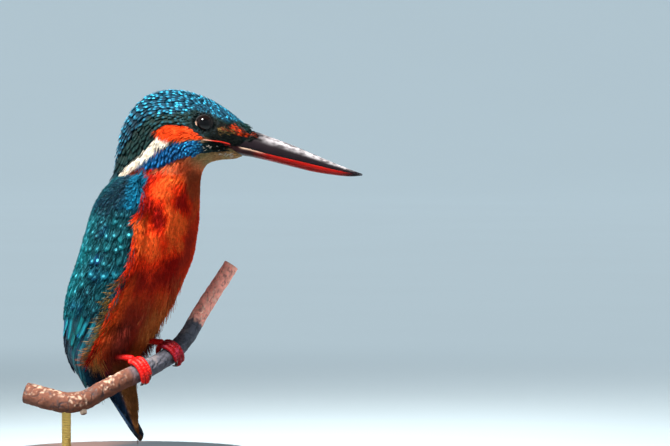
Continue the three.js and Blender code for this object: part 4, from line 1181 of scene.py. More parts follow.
def bill_root_feathers(name, side, dye, random):
    """A pointed lobe of fine feathers over the bill's root. Their tips reach 42.3 + 2.3 exp(-d²) along the
    bill, with d the distance from the lobe's middle in shares of 18 degrees."""
    count = BILL_ROOT_FEATHERS
    turn, length = random.uniform(100, 156, count), random.uniform(1.2, 2.4, count)
    tip = 42.3 + 2.3 * np.exp(-(((turn - 130) / 18) ** 2)) - 1.3 * random.random(count) ** 1.5
    at = np.interp(tip - length, BILL[:, 0], np.arange(len(BILL)))
    rise = (-0.1, random.uniform(0.12, 0.3, count))
    size, yaw = (length, random.uniform(0.1, 0.16, count)), random.normal(0, 0.12, count)
    root = (at, np.radians(turn if side < 0 else 180 - turn))
    made, _ = single_feathers(BILL_CHART, root, yaw, size, rise, BARB, HAIR)
    warm = smooth(random.random(count), 0.2, 1.0) * fade(np.abs(turn - 124), 4, 16)
    tint = paint(dye.lore_black * 0.7, dye.ear * 0.3, warm)
    material = shared(*SOFT)
    coat_piece(f"bill_root_feathers_{name}", made, (tint, tint), None, length, material, "head_plumage")


class BristleOperator(bpy.types.Operator):
    """Lays tiny feathers round the eyes, and fine bristles before them, at the bill's root and below the gape"""

    bl_idname = "kingfisher.bristles"
    bl_label = "Bristles"

    def execute(self, context):
        settings = context.scene.kingfisher
        dye = palette(settings.plumage)
        thin = settings.coat.barb_width / MM * 0.34
        for name, side in SIDES.items():
            random = np.random.default_rng(25)
            eye_feathers(name, side, dye, random)
            bill_root_feathers(name, side, dye, random)
            patches = []
            for low, high, count, yaw, length, tint in (
                ((33.5, 113.4), (41.0, 117.2), 90, math.pi, 2.0, dye.band),
                ((31.8, 113.0), (36.5, 115.8), 22, math.pi, 1.3, dye.flank_gold * 0.35),
                ((27.5, 107.8), (34.0, 109.4), 12, 0.3, 1.1, dye.neck_white * 0.6),
                ((32.6, 106.1), (36.6, 106.9), 20, 0.1, 1.2, dye.neck_white * 0.7),
            ):
                x, z = random.uniform(low[0], high[0], count), random.uniform(low[1], high[1], count)
                yaw, length = yaw + random.normal(0, 0.35, count), length * random.uniform(0.6, 1.2, count)
                patches.append((*face_place(x, z, side), yaw, length, tint * random.uniform(0.5, 1.2, (count, 1))))
            at, bearing, yaw, length, tint = (np.concatenate(part) for part in zip(*patches))
            size, rise = (length, np.full(len(at), thin)), (-0.1, random.uniform(0.2, 0.9, len(at)))
            made, _ = single_feathers(BODY_CHART, (at, bearing), yaw, size, rise, BARB, HAIR)
            material = shared(*SOFT)
            coat_piece(f"bristles_{name}", made, (tint, tint), None, length, material, "head_plumage")
        return {"FINISHED"}


class BreastOperator(bpy.types.Operator):
    """Lays soft tufts over the breast, flanks, belly and under the tail"""

    bl_idname = "kingfisher.breast"
    bl_label = "Breast and belly tufts"

    def execute(self, context):
        settings = context.scene.kingfisher
        dye, coat = palette(settings.plumage), settings.coat

        def keep(at, bearing):
            return (from_back(bearing) > 52) & ~under_wing(at, bearing, 9)

        for number, (first, last) in enumerate(BREAST_BANDS):
            region = (31 + number, first, last, (coat.rows, 1.35), keep)
            tuft_piece(f"breast_tufts_{number + 1}", region, dye, coat, coat.barbs, 1.0, 1.0, (0.66, 0.09))
        return {"FINISHED"}


class BackOperator(bpy.types.Operator):
    """Lays azure feathers down the back and rump"""

    bl_idname = "kingfisher.back"
    bl_label = "Back feathers"

    def execute(self, context):
        settings = context.scene.kingfisher

        def keep(at, bearing):
            return (from_back(bearing) < 62) & ~under_wing(at, bearing, 12)

        at, bearing, random = body_lattice(41, 9.6, 18.4, (0.3, 1.2), keep)
        _, length, half = coat_size(at)
        size = (length * random.uniform(0.95, 1.25, len(at)), half)
        yaw = random.normal(0, 0.5 * settings.coat.unevenness, len(at))
        rise = (-0.9, random.uniform(0.0, 0.3, len(at)))
        made, tips = single_feathers(BODY_CHART, (at, bearing), yaw, size, rise, LONG_CONTOUR, FLAT_VANE)
        tint, _ = coat_tints((at, bearing), tips, palette(settings.plumage), random)
        lot, material = random.random(len(at)), web_material("back_feathers", 0.45, 0.4)
        coat_piece("back_feathers", made, tint, rgba(tint[1] * 0.6, 0.0), lot, material, "body_plumage")
        return {"FINISHED"}


def flank_strands(name, chart, dye):
    """Strands along a wing's lower front edge, the lowest of them golden and longer."""
    random, count = np.random.default_rng(51), FLANK_STRANDS
    z = random.uniform(37, 94, count)
    low, high = smooth(70 - z, 0, 6), np.exp(-(((z - 87.2) / 2.0) ** 2))
    root = (100 - z, 0.01 - 0.1 * random.random(count) ** 1.5)
    olive = low * (random.random(count) > 0.35)
    yaw = random.uniform(-0.1, 0.3, count) + random.uniform(0.3, 1.0, count) * olive + 0.5 * high
    length = random.uniform(2.2, 3.6, count) + random.uniform(0.8, 2.8, count) * olive
    length = length + random.uniform(0, 3.4, count) * high
    rise = (-0.3 + 14 * np.minimum(root[1], 0), random.uniform(0.0, 0.6, count))
    size = (length, random.uniform(0.05, 0.11, count) * (1 - 0.35 * olive))
    bend = random.uniform(-0.8, 0.8, count)
    made, _ = single_feathers(chart, root, yaw, size, rise, STRAND, HAIR, bend, 0.2)
    warm = random.random(count)
    gold = paint(dye.flank_gold * (0.22, 0.2, 0.1), dye.flank_gold * 0.6, warm**2.5)
    orange = rufous(chart.surface(*root), dye) * random.uniform(0.8, 1.15, (count, 1))
    tint = paint(orange, gold, olive * (1 - 0.4 * smooth(46 - z, 0, 8)))
    material = shared(*SOFT)
    coat_piece(f"flank_strands_{name}", made, (tint * 0.6, tint), None, warm, material, "body_plumage")


def plumes(name, row, dye, thin):
    """Tufts whose tips stand off the body and so hang over what lies below them."""
    first, last, low, high, count, length, off, gold, light = row
    random, both = np.random.default_rng(len(name)), 2 * count
    at, front = random.uniform(first, last, both), np.radians(random.uniform(low, high, both))
    bearing = np.where(np.arange(both) < count, front, TAU - front)
    size = (length * random.uniform(0.75, 1.15, both), 1.5)
    rise = (-0.7, off * random.uniform(0.35, 1.1, both))
    yaw = random.normal(0, 0.12, both)
    made, tips, owner = barb_tufts(BODY_CHART, (at, bearing), yaw, size, rise, 3, thin * 0.9, random, 0.16)
    (root, tip), _ = coat_tints((at[owner], bearing[owner]), tips, dye, random, 0.7, 0.12)
    # A lightness below 1 is a painted shade.
    root, tip = root * light, tip * light
    bead = rgba(tip, 0)
    over = dye.flank_gold if gold > 0 else dye.wing_navy * 0.6
    share = abs(gold) * random.random(len(owner)) ** (1.5 if gold > 0 else 0.2)
    root, tip = paint(root, over, share * (0.3 if gold >= 0 else 1.0)), paint(tip, over, share)
    lot, material = random.random(len(owner)), shared(*SOFT)
    coat_piece(f"{name}_plumes", made, (root, tip), bead, lot, material, "body_plumage")


class StrandOperator(bpy.types.Operator):
    """Lays pale hair-like strands of the flank over the wings' lower front edges, and loose plumes"""

    bl_idname = "kingfisher.strands"
    bl_label = "Flank strands"

    def execute(self, context):
        settings = context.scene.kingfisher
        dye = palette(settings.plumage)
        for name, chart in WING_CHARTS.items():
            flank_strands(name, chart, dye)
        for name, row in PLUMES.items():
            plumes(name, row, dye, settings.coat.barb_width / MM)
        return {"FINISHED"}


# ---- The wings ----
def covert_rows(random):
    """Roots, lengths, half widths and spot strengths of the wing's coverts, in staggered rows."""
    rows = []
    for row, (tip, count, length, half, first, last, spot) in enumerate(COVERT_ROWS):
        place = (np.arange(count) + 0.5 * (row % 2)) / (count - 0.5)
        across = first + (last - first) * place + random.normal(0, 0.012, count)
        length = length * random.uniform(0.9, 1.1, count)
        low = smooth(66 - tip, 0, 9)
        tip = tip + random.normal(0, 0.45 + 0.6 * low, count) - 9 * low * (0.62 - across)
        half = half * random.uniform(0.85, 1.1, count)
        spots = spot * random.uniform(0.3, 0.85, count) * (random.random(count) > 0.18)
        rows.append((100 - tip - length, across, length, half, spots))
    return (np.concatenate(part) for part in zip(*rows))


def covert_tints(tips, dye, random):
    """The coverts' and their spots' colours: dark teal, brighter to the back, blue-black over the shoulder
    with a blue patch at the wrist."""
    height, across = 100 - tips[0], tips[1]
    place = stacked(height, across * 26, 0)
    ground = paint(dye.wing_ground, dye.back_blue * 0.13, smooth(noise(place, 5.0, 62), 0, 0.7))
    bright = smooth(across, 0.35, 0.85) * 0.7 + random.uniform(0, 0.4, len(height)) + 0.35 * noise(place, 4.0, 63)
    tint = paint(ground, dye.wing_teal, np.clip(bright, 0, 1) * (1 - 0.6 * smooth(height, 80, 90)))
    tint = paint(tint, dye.wing_navy * 0.8, smooth(height, 82, 90) * (0.7 - 0.5 * smooth(across, 0.7, 0.9)))
    patch = smooth(height, 86.0, 89.5) * fade(across, 0.16, 0.34)
    bead = dye.wing_bead * (1 - 0.6 * smooth(height, 80, 88))[:, None]
    return paint(tint, dye.shoulder, patch), paint(bead, dye.shoulder, patch)


def wing_core(name, chart, dye):
    """A closed surface of level slices from the shoulder to the primaries' roots, each a flat ellipse of cos
    and sin of the bearing, between the wing's edges and 1.2 to 4.6 millimetres under its outside."""
    down, bearing = grid(np.linspace(1.0, 52, 60), 48)
    free = np.interp(down, (0, 6, 43, 52), (0.24, 0.07, 0.07, 0.3))
    across = 0.5 + (0.5 - free) * np.cos(bearing)
    points = chart.lifted(down, across, -2.9 + 1.7 * np.sin(bearing))
    tubes, bake = [(points, dye.wing_ground, name == "right")], chart.unwrap(down, across)
    material = shared("wing_core", painted_material, 0.6, 0.5, 900.0, (1, 1, 0.2), 0.0002)
    tube_piece(f"wing_core_{name}", tubes, material, "body_plumage", f"wing_{name}", bake=bake)


def coverts(name, chart, dye, random):
    """The wing's spotted small feathers in rows."""
    down, across, length, half, spots = covert_rows(random)
    count = len(down)
    yaw = random.normal(0, 0.09, count)
    flat = 1 - 0.6 * smooth(100 - down - length, 83, 89)
    rise, bend = (-1.3, random.uniform(0.1, 0.45, count) * flat), random.normal(0, 0.3, count)
    made, tips = single_feathers(chart, (down, across), yaw, (length, half), rise, COVERT, FINE_VANE, bend)
    tint, bead = covert_tints(tips, dye, random)
    lot = random.random(count)
    material = shared("covert_feathers", feather_material, 0.84, (0.2, 0.062), 110.0, 0.6, 0.1)
    coat_piece(f"coverts_{name}", made, (tint * 0.5, tint), rgba(bead, spots), lot, material, "flight_feathers")


def covert_barbs(name, chart, dye, random):
    """Loose barbs over the coverts, which fray their edges and streak them."""
    count, loose = COVERT_BARBS, np.arange(COVERT_BARBS) < LOOSE_BARBS
    height, across = random.uniform(51, 98, count), random.uniform(-0.02, 0.96, count)
    height = np.where(loose, random.uniform(33, 44, count), height)
    across = np.where(loose, random.uniform(0.7, 1.0, count), across)
    yaw = random.normal(0, 0.16, count) + np.where(loose, 0.35, 0)
    length = np.interp(height, (44, 56, 84, 97), (6.5, 4.2, 3.4, 1.8)) * random.uniform(0.6, 1.2, count)
    rise, size = (-0.3, random.uniform(0.0, 0.42, count)), (length, random.uniform(0.07, 0.13, count))
    root, bend = (100 - height - length, across), random.normal(0, 0.25, count)
    made, tips = single_feathers(chart, root, yaw, size, rise, BARB, HAIR, bend)
    tint, bead = covert_tints(tips, dye, random)
    light = random.random(count) ** 4 * 0.6
    tint = paint(tint * random.uniform(0.35, 1.15, (count, 1)), bead, light)
    tint = paint(tint, dye.wing_navy * 0.7, loose)
    lot, material = random.random(count), shared("loose_barbs", painted_material, 0.7, 0.08)
    coat_piece(f"covert_barbs_{name}", made, (tint * 0.6, tint), None, lot, material, "flight_feathers")


def long_feathers(chart, start, end, half, rise, ease=1.0):
    """Long feathers from places on a chart to others."""
    path = long_path(chart, start, end, len(REMEX), ease)
    return blades(chart, path, start, half, rise, REMEX, FINE_VANE)


def flight_feathers(name, chart, dye, material, random):
    """The long feathers of a wing from the outermost primary inwards, and the scapulars over them."""
    height, across, tip, teal, azure, dark, light = FLIGHT
    order = np.arange(len(height))
    start, end = (100 - height, (order + 0.5) / len(height)), (100 - tip, across)
    rise = (-1.2 + 0.05 * order, -0.25 + 0.05 * order)
    made = long_feathers(chart, start, end, np.full(len(height), 2.35), rise, 1.25)
    outer = paint(paint(dye.wing_ground, dye.wing_navy, dark), dye.wing_teal, teal)
    outer = paint(outer, dye.azure * 0.6, azure * 0.6) * light[:, None]
    tip, inner = paint(outer, dye.wing_navy * 0.7, dark), rgba(np.broadcast_to(dye.wing_navy, outer.shape))
    coat_piece(f"flight_{name}", made, (outer, tip), inner, random.random(len(tip)), material, "flight_feathers")

    across, height, tip_across, tip, half, edge = SCAPULARS
    rise = (-1.2, 0.2 + 0.2 * random.random(len(height)))
    made = long_feathers(chart, (100 - height, across), (100 - tip, tip_across), half, rise)
    rear = (edge > 0.9)[:, None]
    tint = np.where(rear, dye.back_blue * 0.35, paint(dye.wing_teal * 0.85, dye.azure, edge * 0.8))
    inner = rgba(np.where(rear, dye.azure * 0.9, paint(dye.wing_ground, dye.back_blue, edge)))
    lot = random.random(len(height))
    coat_piece(f"scapulars_{name}", made, (tint * 0.6, tint), inner, lot, material, "flight_feathers")


class WingOperator(bpy.types.Operator):
    """Builds the folded wings: a core, spotted coverts, scapulars and thirteen flight feathers each"""

    bl_idname = "kingfisher.wings"
    bl_label = "Wings"

    def execute(self, context):
        dye = palette(context.scene.kingfisher.plumage)
        web = web_material("flight_feathers", 0.5, 0.15)
        for name, chart in WING_CHARTS.items():
            random = np.random.default_rng(61)
            wing_core(name, chart, dye)
            coverts(name, chart, dye, random)
            covert_barbs(name, chart, dye, random)
            flight_feathers(name, chart, dye, web, random)
        return {"FINISHED"}


class TailOperator(bpy.types.Operator):
    """Builds the tail's twelve feathers"""

    bl_idname = "kingfisher.tail"
    bl_label = "Tail"

    def execute(self, context):
        dye = palette(context.scene.kingfisher.plumage)
        pairs, spread = TAIL["pairs"], TAIL["spread"]
        order, side = np.tile(np.arange(pairs), 2), np.repeat([-1.0, 1.0], pairs)
        outward = (order + 0.4) / pairs
        start = (np.full(2 * pairs, 0.5), side * outward * spread * 0.5)
        end = (TAIL["length"] * (1 - 0.06 * outward**2), side * outward * spread)
        rise = -0.2 * order - 0.3
        made = long_feathers(TAIL_CHART, start, end, np.full(2 * pairs, TAIL["half"]), (rise, rise))
        tint = np.tile(dye.tail_navy, (2 * pairs, 1))
        below = rgba(paint(dye.tail_brown, dye.wing_navy, smooth(order, 2.5, 4.0)))
        lot = np.random.default_rng(71).random(2 * pairs)
        tints = (tint, tint * 0.35)
        coat_piece("tail_feathers", made, tints, below, lot, tail_material(), "flight_feathers", "tail")
        return {"FINISHED"}


# ---- The bill and the eyes ----
BILL_CHART = Chart(
    lambda at, bearing: bill_points(at, bearing, True)[0], 1.0, lambda at, bearing: stacked(bearing / TAU, at / 10)
)


def from_nostril(x, z):
    """How far places lie from the nostril's middle line, as a share of its half length and height."""
    along, above = tilted(x, z, NOSTRIL)
    return np.hypot(along / NOSTRIL["length"] * 2, above / NOSTRIL["height"] * 2)


def bill_points(at, bearing, upper):
    """One half of the bill: from the mouth line to the ridge, or to the keel, by the bearing's sine to the
    power 0.85, and across by its cosine times the half width, with the nostril pressed into the upper half."""
    x, ridge, mouth, keel, half = np.moveaxis(curve(BILL, at), -1, 0)
    c, n = np.cos(bearing), np.sin(bearing)
    slit = MOUTH_SLIT if upper else -MOUTH_SLIT
    full = np.where((n > 0) == upper, np.abs(n) ** BILL_POWER, 0)
    y, z = c * half, mouth + slit + full * ((ridge if upper else keel) - mouth - slit)
    if upper:
        dent = fade(from_nostril(x, z), 0.2, 1.3)
        y = y - np.sign(y) * NOSTRIL["depth"] * dent * smooth(n, 0.1, 0.3)
    plain = stacked(x, y, z)
    return turned(plain), plain


def bill_tint(plain, over, upper, dye):
    """Black above with a painted sheen in patches along the ridge and painted shade round the nostril, red below
    and dark at both ends, and paler at the gape.
    """
    x, z = plain[..., 0], plain[..., 2]
    fine = noise(plain * (0.25, 1, 1), 1.0, 81)
    if upper:
        # A painted sheen along the upper ridge, in patches.
        sheen = smooth(over, 0.4, 0.85) * smooth(x, 42, 50) * fade(x, 72, 77)
        highlight_patches = smooth(noise(plain * (0.5, 1, 1), 0.55, 82) + 0.6 * fine, -0.7, 0.5)
        tint = paint(dye.bill_black, dye.bill_sheen, sheen * (0.25 + 0.75 * highlight_patches))
        # Painted shade in and round the nostril's dent.
        tint = paint(tint, dye.bill_black * 0.2, fade(from_nostril(x, z), 1.0, 2.2))
    else:
        red = paint(dye.bill_red, dye.gape, smooth(fine, 0.3, 1.0) * 0.1)
        dark = smooth(x, 70, 76) + fade(x + 3 * fine, 41, 48) * 0.92
        edge = fade(over, 0.08, 0.2) * smooth(x, 38, 40) * fade(x, 43, 48)
        tint = paint(paint(red, dye.bill_black, np.clip(dark, 0, 1)), dye.bark_cream, 0.4 * edge)
    return paint(tint, dye.gape, fade(x, 33, 37) * fade(over, 0.3, 0.6) * 0.8)


def gape(name, side, dye):
    """The fleshy line that runs back from the bill's corner: a tube along the face whose section is an
    ellipse, thinner towards its end."""
    share, turn = grid(np.linspace(0, 1, 50), 12)
    x = 36.0 - 8.6 * share
    at, bearing = face_place(x, np.interp(x, BILL[:, 0], BILL[:, 2]) + 0.1 + 0.25 * share, side)
    girth = 0.26 * (1 - 0.5 * share) * rounded(share, 0.1, 0.15)
    du, dv = BODY_CHART.slopes(at, bearing)
    line = body_surface(at, bearing)
    out = unit(np.cross(dv, du))
    over = np.cross(unit(np.gradient(line, axis=0)), out)
    section = 0.8 * np.cos(turn)[..., None] * out + np.sin(turn)[..., None] * over
    points = line + 0.05 * out + girth[..., None] * section
    tint = paint(dye.gape, dye.bark_cream, smooth(share, 0.55, 0.95) * 0.6)
    tube_piece(f"gape_{name}", [(points, tint, False)], shared("bill_lower", *HORN), "bill_red")


class BillOperator(bpy.types.Operator):
    """Builds the bill's two halves with the nostrils and the red of the lower half"""

    bl_idname = "kingfisher.bill"
    bl_label = "Bill"

    def execute(self, context):
        dye = palette(context.scene.kingfisher.hard)
        at, bearing = grid(np.linspace(0, len(BILL) - 1, 200), 72)
        for name, upper, slot in (("bill_upper", True, "bill_black"), ("bill_lower", False, "bill_red")):
            points, plain = bill_points(at, bearing, upper)
            tubes = [(points, bill_tint(plain, np.abs(np.sin(bearing)), upper, dye), False)]
            tube_piece(f"{name}_horn", tubes, shared(name, *HORN), slot, name)
        for name, side in SIDES.items():
            gape(name, side, dye)
        return {"FINISHED"}


def around(turn, ahead, up):
    """Unit steps across an axis, by the turn round it."""
    return np.cos(turn)[..., None] * ahead + np.sin(turn)[..., None] * up


def eyeball(name, side, centre, axes, dye, wet):
    """A sphere by the angle from the eye's axis and the turn round it, with the cornea's low bulge in front."""
    look, ahead, up = axes
    tilt, turn = grid(np.concatenate([[0.004], np.linspace(0.03, math.pi - 0.004, 60)]), 72)
    radius = EYE["radius"] + 0.12 * fade(tilt, 0.25, 0.8)
    points = centre + radius[..., None] * around(tilt, look, around(turn, ahead, up))
    pupil = np.array(linear(4, 3, 4))
    tint = paint(paint(pupil, dye.iris, smooth(tilt, 0.5, 0.56)), pupil, smooth(tilt, 0.86, 1.0))
    tube_piece(f"eyeball_{name}", [(points, tint, side < 0)], wet, "eye", f"eye_{name}")


def eyelid(name, side, centre, axes, dye):
    """A ring round the eye's opening whose section is a circle, swollen and wrinkled by sines of the turn."""
    look, ahead, up = axes
    turn, section = grid(np.linspace(0, TAU, 120), 16)
    wrinkle = 1 + 0.08 * np.sin(turn * 31) + 0.06 * np.sin(turn * 17 + 1)
    thick = 0.36 * wrinkle * (1 + 0.25 * fade(np.cos(turn), -1.0, -0.6))
    ring = 2.62 + thick * np.cos(section)
    across = np.cos(turn)[..., None] * ahead + 0.96 * np.sin(turn)[..., None] * up
    points = centre + 1.55 * look + ring[..., None] * across + (thick * np.sin(section))[..., None] * look
    behind = fade(np.cos(turn - 0.25), -0.97, -0.86)
    tint = paint(dye.lid, linear(160, 126, 108), behind * smooth(np.sin(section), 0, 0.8))
    material = shared("eyelid", painted_material, 0.6, 0.15, 1500.0, (1, 1, 1), 0.00008)
    tube_piece(f"eyelid_{name}", [(points, tint, side < 0)], material, "head_plumage")


class EyesOperator(bpy.types.Operator):
    """Builds the eyes and their bare wrinkled lids"""

    bl_idname = "kingfisher.eyes"
    bl_label = "Eyes and lids"

    def execute(self, context):
        dye = palette(context.scene.kingfisher.hard)
        wet = Shader("eye", 0.05, 0.22)
        wet.link(wet.attribute("tint"))
        for name, side in SIDES.items():
            centre = turned(np.array([EYE["x"], side * EYE["y"], EYE["z"]]))
            cos, sin = math.cos(HEAD_TURN - side * EYE["ahead"]), math.sin(HEAD_TURN - side * EYE["ahead"])
            axes = np.array([-sin * side, cos * side, 0]), np.array([cos, sin, 0]), np.array([0, 0, 1.0])
            eyeball(name, side, centre, axes, dye, wet.material)
            eyelid(name, side, centre, axes, dye)
        return {"FINISHED"}


# ---- The perch and the feet ----
def perch_at(along):
    """The branch's centre, axis and radius at places counted in its points: a centripetal Catmull-Rom curve,
    carried on straight past its ends."""
    line = PERCH[:, :3]
    points = np.concatenate([[2 * line[0] - line[1]], line, [2 * line[-1] - line[-2]]])
    along = np.asarray(along, float)

    def centre(at):
        i = np.clip(np.floor(at).astype(int), 0, len(PERCH) - 2)
        t = (at - i)[..., None]
        a, b, c, d = (points[i + step] for step in range(4))
        spans = ((a, b), (b, c), (c, d))
        first, middle, last = (np.sqrt(np.linalg.norm(q - p, axis=-1))[..., None] for p, q in spans)
        start = ((b - a) / first - (c - a) / (first + middle) + (c - b) / middle) * middle
        end = ((c - b) / middle - (d - b) / (middle + last) + (d - c) / last) * middle
        return b + t * (start + t * (3 * (c - b) - 2 * start - end + t * (2 * (b - c) + start + end)))

    axis = unit(centre(np.minimum(along + 1e-3, len(PERCH) - 1)) - centre(np.maximum(along - 1e-3, 0)))
    return centre(along), axis, curve(PERCH[:, 3:4], along)[..., 0]


def by_perch(along, bearing, out, shift=0.0):
    """A point beside the branch: at a bearing from its top towards its front, out from its axis, shifted along
    it."""
    centre, axis, _ = perch_at(along)
    up = unit(np.array([0, 0, 1.0]) - axis[..., 2:3] * axis)
    across = around(bearing, up, np.cross(axis, up))
    return centre + across * np.asarray(out)[..., None] + axis * np.asarray(shift)[..., None]


def arc_tube(along, bearing, out, shift, radius, section):
    """A tube that curls round the branch: its middle lies at a distance out, and a point of its section is
    radius x cos further out and radius x sin further along the branch."""
    out, shift = out + radius * np.cos(section), shift + radius * np.sin(section)
    return by_perch(np.full(radius.shape, along), bearing, out, shift)


def rounded(t, start, end):
    """A tube's radius share, closed like a half ball over `start` and `end` of its length."""
    shares = (t / start, (1 - t) / end)
    first, last = (np.sqrt(np.clip(1 - (1 - np.clip(part, 0, 1)) ** 2, 0, 1)) for part in shares)
    return np.maximum(first * last, 0.02)


def toe(along, radius, dye, beside, start, end, r):
    """A toe: scutes step down its outer side as a saw of the share, and pads swell its inner side."""
    t, turn = grid(np.linspace(0, 1, 110), 28)
    scute, pad = np.mod(t * 13, 1), np.mod(t * 5 + 0.3, 1)
    outer, inner = smooth(np.cos(turn), 0.0, 0.7), smooth(-np.cos(turn), 0.1, 0.8)
    girth = r * (1 - 0.12 * t) * rounded(t, 0.05, 0.05)
    girth = girth * (1 + outer * (0.07 - 0.13 * scute**3) + inner * 0.1 * (np.sin(np.pi * pad) - 0.7))
    points = arc_tube(along, np.radians(start + (end - start) * t), radius + GAP + r, beside, girth, turn)
    highlight_patches = smooth(noise(points, 0.9, 91), 0.1, 0.7) * (1 - t)
    # pale: a painted highlight on the front of each scute and in patches along the toe's outer side.
    pale = outer * smooth(scute, 0.15, 0.0) * 0.35 + 0.5 * outer * highlight_patches
    tint = paint(dye.foot, dye.foot_pale, np.clip(pale, 0, 1))
    # Darker on the inner side against the branch, a painted shade, and at the end of each scute.
    tint = paint(tint, dye.foot * 0.35, inner * 0.5 + outer * smooth(scute, 0.86, 1.0) * 0.6)
    return points, tint, end > start


def claw(along, radius, dye, beside, start, r):
    """A claw goes on round the branch, narrows by 84% to its tip, and hooks inwards."""
    t, turn = grid(np.linspace(0, 1, 30), 16)
    bearing = np.radians(start + math.copysign(1, start) * (-4 + (CLAW_TURN + 4) * t))
    girth = r * 0.76 * (1 - 0.84 * t) * rounded(t, 0.08, 0.12)
    points = arc_tube(along, bearing, radius + GAP + r * (1 - 0.25 * t), beside, girth, turn)
    return points, paint(dye.claw, dye.foot_pale * 0.4, fade(t, 0.0, 0.2)), start > 0


def shank(along, radius, side, dye):
    """A straight tube from the toes' hub to the heel, narrower at its middle, with scutes down its front."""
    t, turn = grid(np.linspace(0, 1, 50), 24)
    out = radius + GAP + TOES["middle"][2] * 1.5
    hub = by_perch(np.array([along]), np.radians([TARSUS["bearing"]]), np.array([out]))[0]
    reach = np.array([-TARSUS["heel_back"], -side * TARSUS["heel_in"], TARSUS["heel_up"]])
    axis = unit(reach)
    beside = unit(np.cross(axis, [0, 0, 1.0]))
    scute = np.mod(t * 8, 1)
    girth = TARSUS["r"] * (1 - 0.18 * np.sin(np.pi * t)) * (1 + 0.05 * (1 - scute**3)) * rounded(t, 0.1, 0.1)
    points = hub + t[..., None] * reach + girth[..., None] * around(turn, beside, np.cross(beside, axis))
    # The front of each scute on the shank takes a painted highlight.
    return points, paint(dye.foot * 0.8, dye.foot_pale, smooth(scute, 0.2, 0.0) * 0.3), False


class FeetOperator(bpy.types.Operator):
    """Builds the scaled toes, the claws and the shanks"""

    bl_idname = "kingfisher.feet"
    bl_label = "Feet"

    def execute(self, context):
        dye = palette(context.scene.kingfisher.hard)
        skin = painted_material(
            "foot_skin", 0.45, 0.16, 1200.0, bump=0.00005, Subsurface_Weight=0.1, Subsurface_Scale=0.001
        )
        horn = painted_material("claw_horn", 0.25, Coat_Weight=0.3)
        for name, side in SIDES.items():
            along = FOOT_PLACES[name]
            radius = float(perch_at(along)[2])
            fronts = [(key, side * beside, TOES_START, end, r) for key, (beside, end, r) in TOES.items()]
            beside, end, r = HIND_TOE
            hind = ("hind", side * beside, TOES_START - math.degrees(GAP / (radius + r)), end, r)
            tubes = [toe(along, radius, dye, *row[1:]) for row in fronts]
            # The far foot's toes take a painted shade, darker and bluer.
            if side > 0:
                tubes = [(points, tint * FAR_SHADE, inside_out) for points, tint, inside_out in tubes]
            tube_piece(f"front_toes_{name}", tubes, skin, "foot_skin", f"toes_front_{name}")
            tubes = [toe(along, radius, dye, *hind[1:])]
            tube_piece(f"hind_toe_{name}", tubes, skin, "foot_skin", f"toe_hind_{name}")
            for key, beside, _, end, r in [*fronts, hind]:
                tubes = [claw(along, radius, dye, beside, end, r)]
                tube_piece(f"claw_{key}_{name}_horn", tubes, horn, "claw", f"claw_{key}_{name}")
            tubes = [shank(along, radius, side, dye)]
            tube_piece(f"shank_{name}", tubes, skin, "foot_skin", f"tarsus_{name}")
        return {"FINISHED"}


def bark_tint(points, along, dye):
    """Tan with cream patches at the low end, partly weathered bark and partly a painted highlight on its top, grey
    between the feet as a painted shadow of the bird, and pink up the steep end, flecked.
    """
    coarse, fine = noise(points * (0.6, 0.6, 0.6), 2.2, 101), noise(points, 0.7, 102)
    top = (points[..., 2] - perch_at(along)[0][..., 2]) / 3
    # grey marks the stretch between the feet, which takes a painted shadow of the bird.
    grey, pink = smooth(along, 5.0, 5.7), smooth(along + 0.1 * fine, 9.56, 9.68)
    tint = paint(paint(dye.bark_tan, dye.shadow_and_bark_grey, grey), dye.bark_pink, pink)
    # Cream patches, partly weathered bark and partly a painted highlight on the branch's top, kept out of the
    # painted shadow.
    highlight_patches = smooth(0.7 * coarse + 0.9 * fine + 0.7 * top - 0.45, 0.0, 1.1) * (1 - 0.85 * grey * (1 - pink))
    tint = paint(tint, dye.bark_cream, highlight_patches * 0.58)
    tint = paint(tint, dye.bark_cream, pink * smooth(noise(points, 0.5, 107), 0.25, 0.7) * 0.7)
    return paint(tint, dye.shadow_and_bark_grey * 0.3, smooth(-coarse + 0.7 * fine, 0.35, 1.0) * 0.6 * (1 - 0.7 * pink))


def branch(dye, material):
    """The branch by its place along and the bearing round it: its radius, raised by soft noise and cracked by
    narrow dips of it, and smaller circles at either end that close the sawn face."""
    last, close = len(PERCH) - 1.0, np.array([0.02, 0.5, 0.9, 0.97])
    places = np.concatenate([np.zeros(4), np.linspace(0, last, 420), np.full(4, last)])
    shares = np.concatenate([close, np.ones(420), close[::-1]])
    along, bearing = grid(places, 72)
    share = np.broadcast_to(shares[:, None], along.shape)
    radius = perch_at(along)[2]
    plain = by_perch(along, bearing, radius)
    swell = 0.16 * noise(plain, 3.2, 103) + 0.1 * noise(plain, 1.1, 104)
    crack = smooth(np.abs(noise(plain, 1.7, 105)), 0.12, 0.0)
    points = by_perch(along, bearing, (radius + np.where(share > 0.99, swell - 0.22 * crack, 0)) * share)
    # The cracks are painted darker: a painted shade in their dips.
    tint = paint(bark_tint(plain, along, dye), dye.shadow_and_bark_grey * 0.3, crack * 0.7)
    wood = paint(dye.wood, dye.bark_tan, (0.5 + 0.5 * np.sin(share * 22)) * 0.4)
    tint = np.where((share < 0.95)[..., None], wood, tint)
    tube_piece("branch", [(points, tint, False)], material, "bark", "perch")


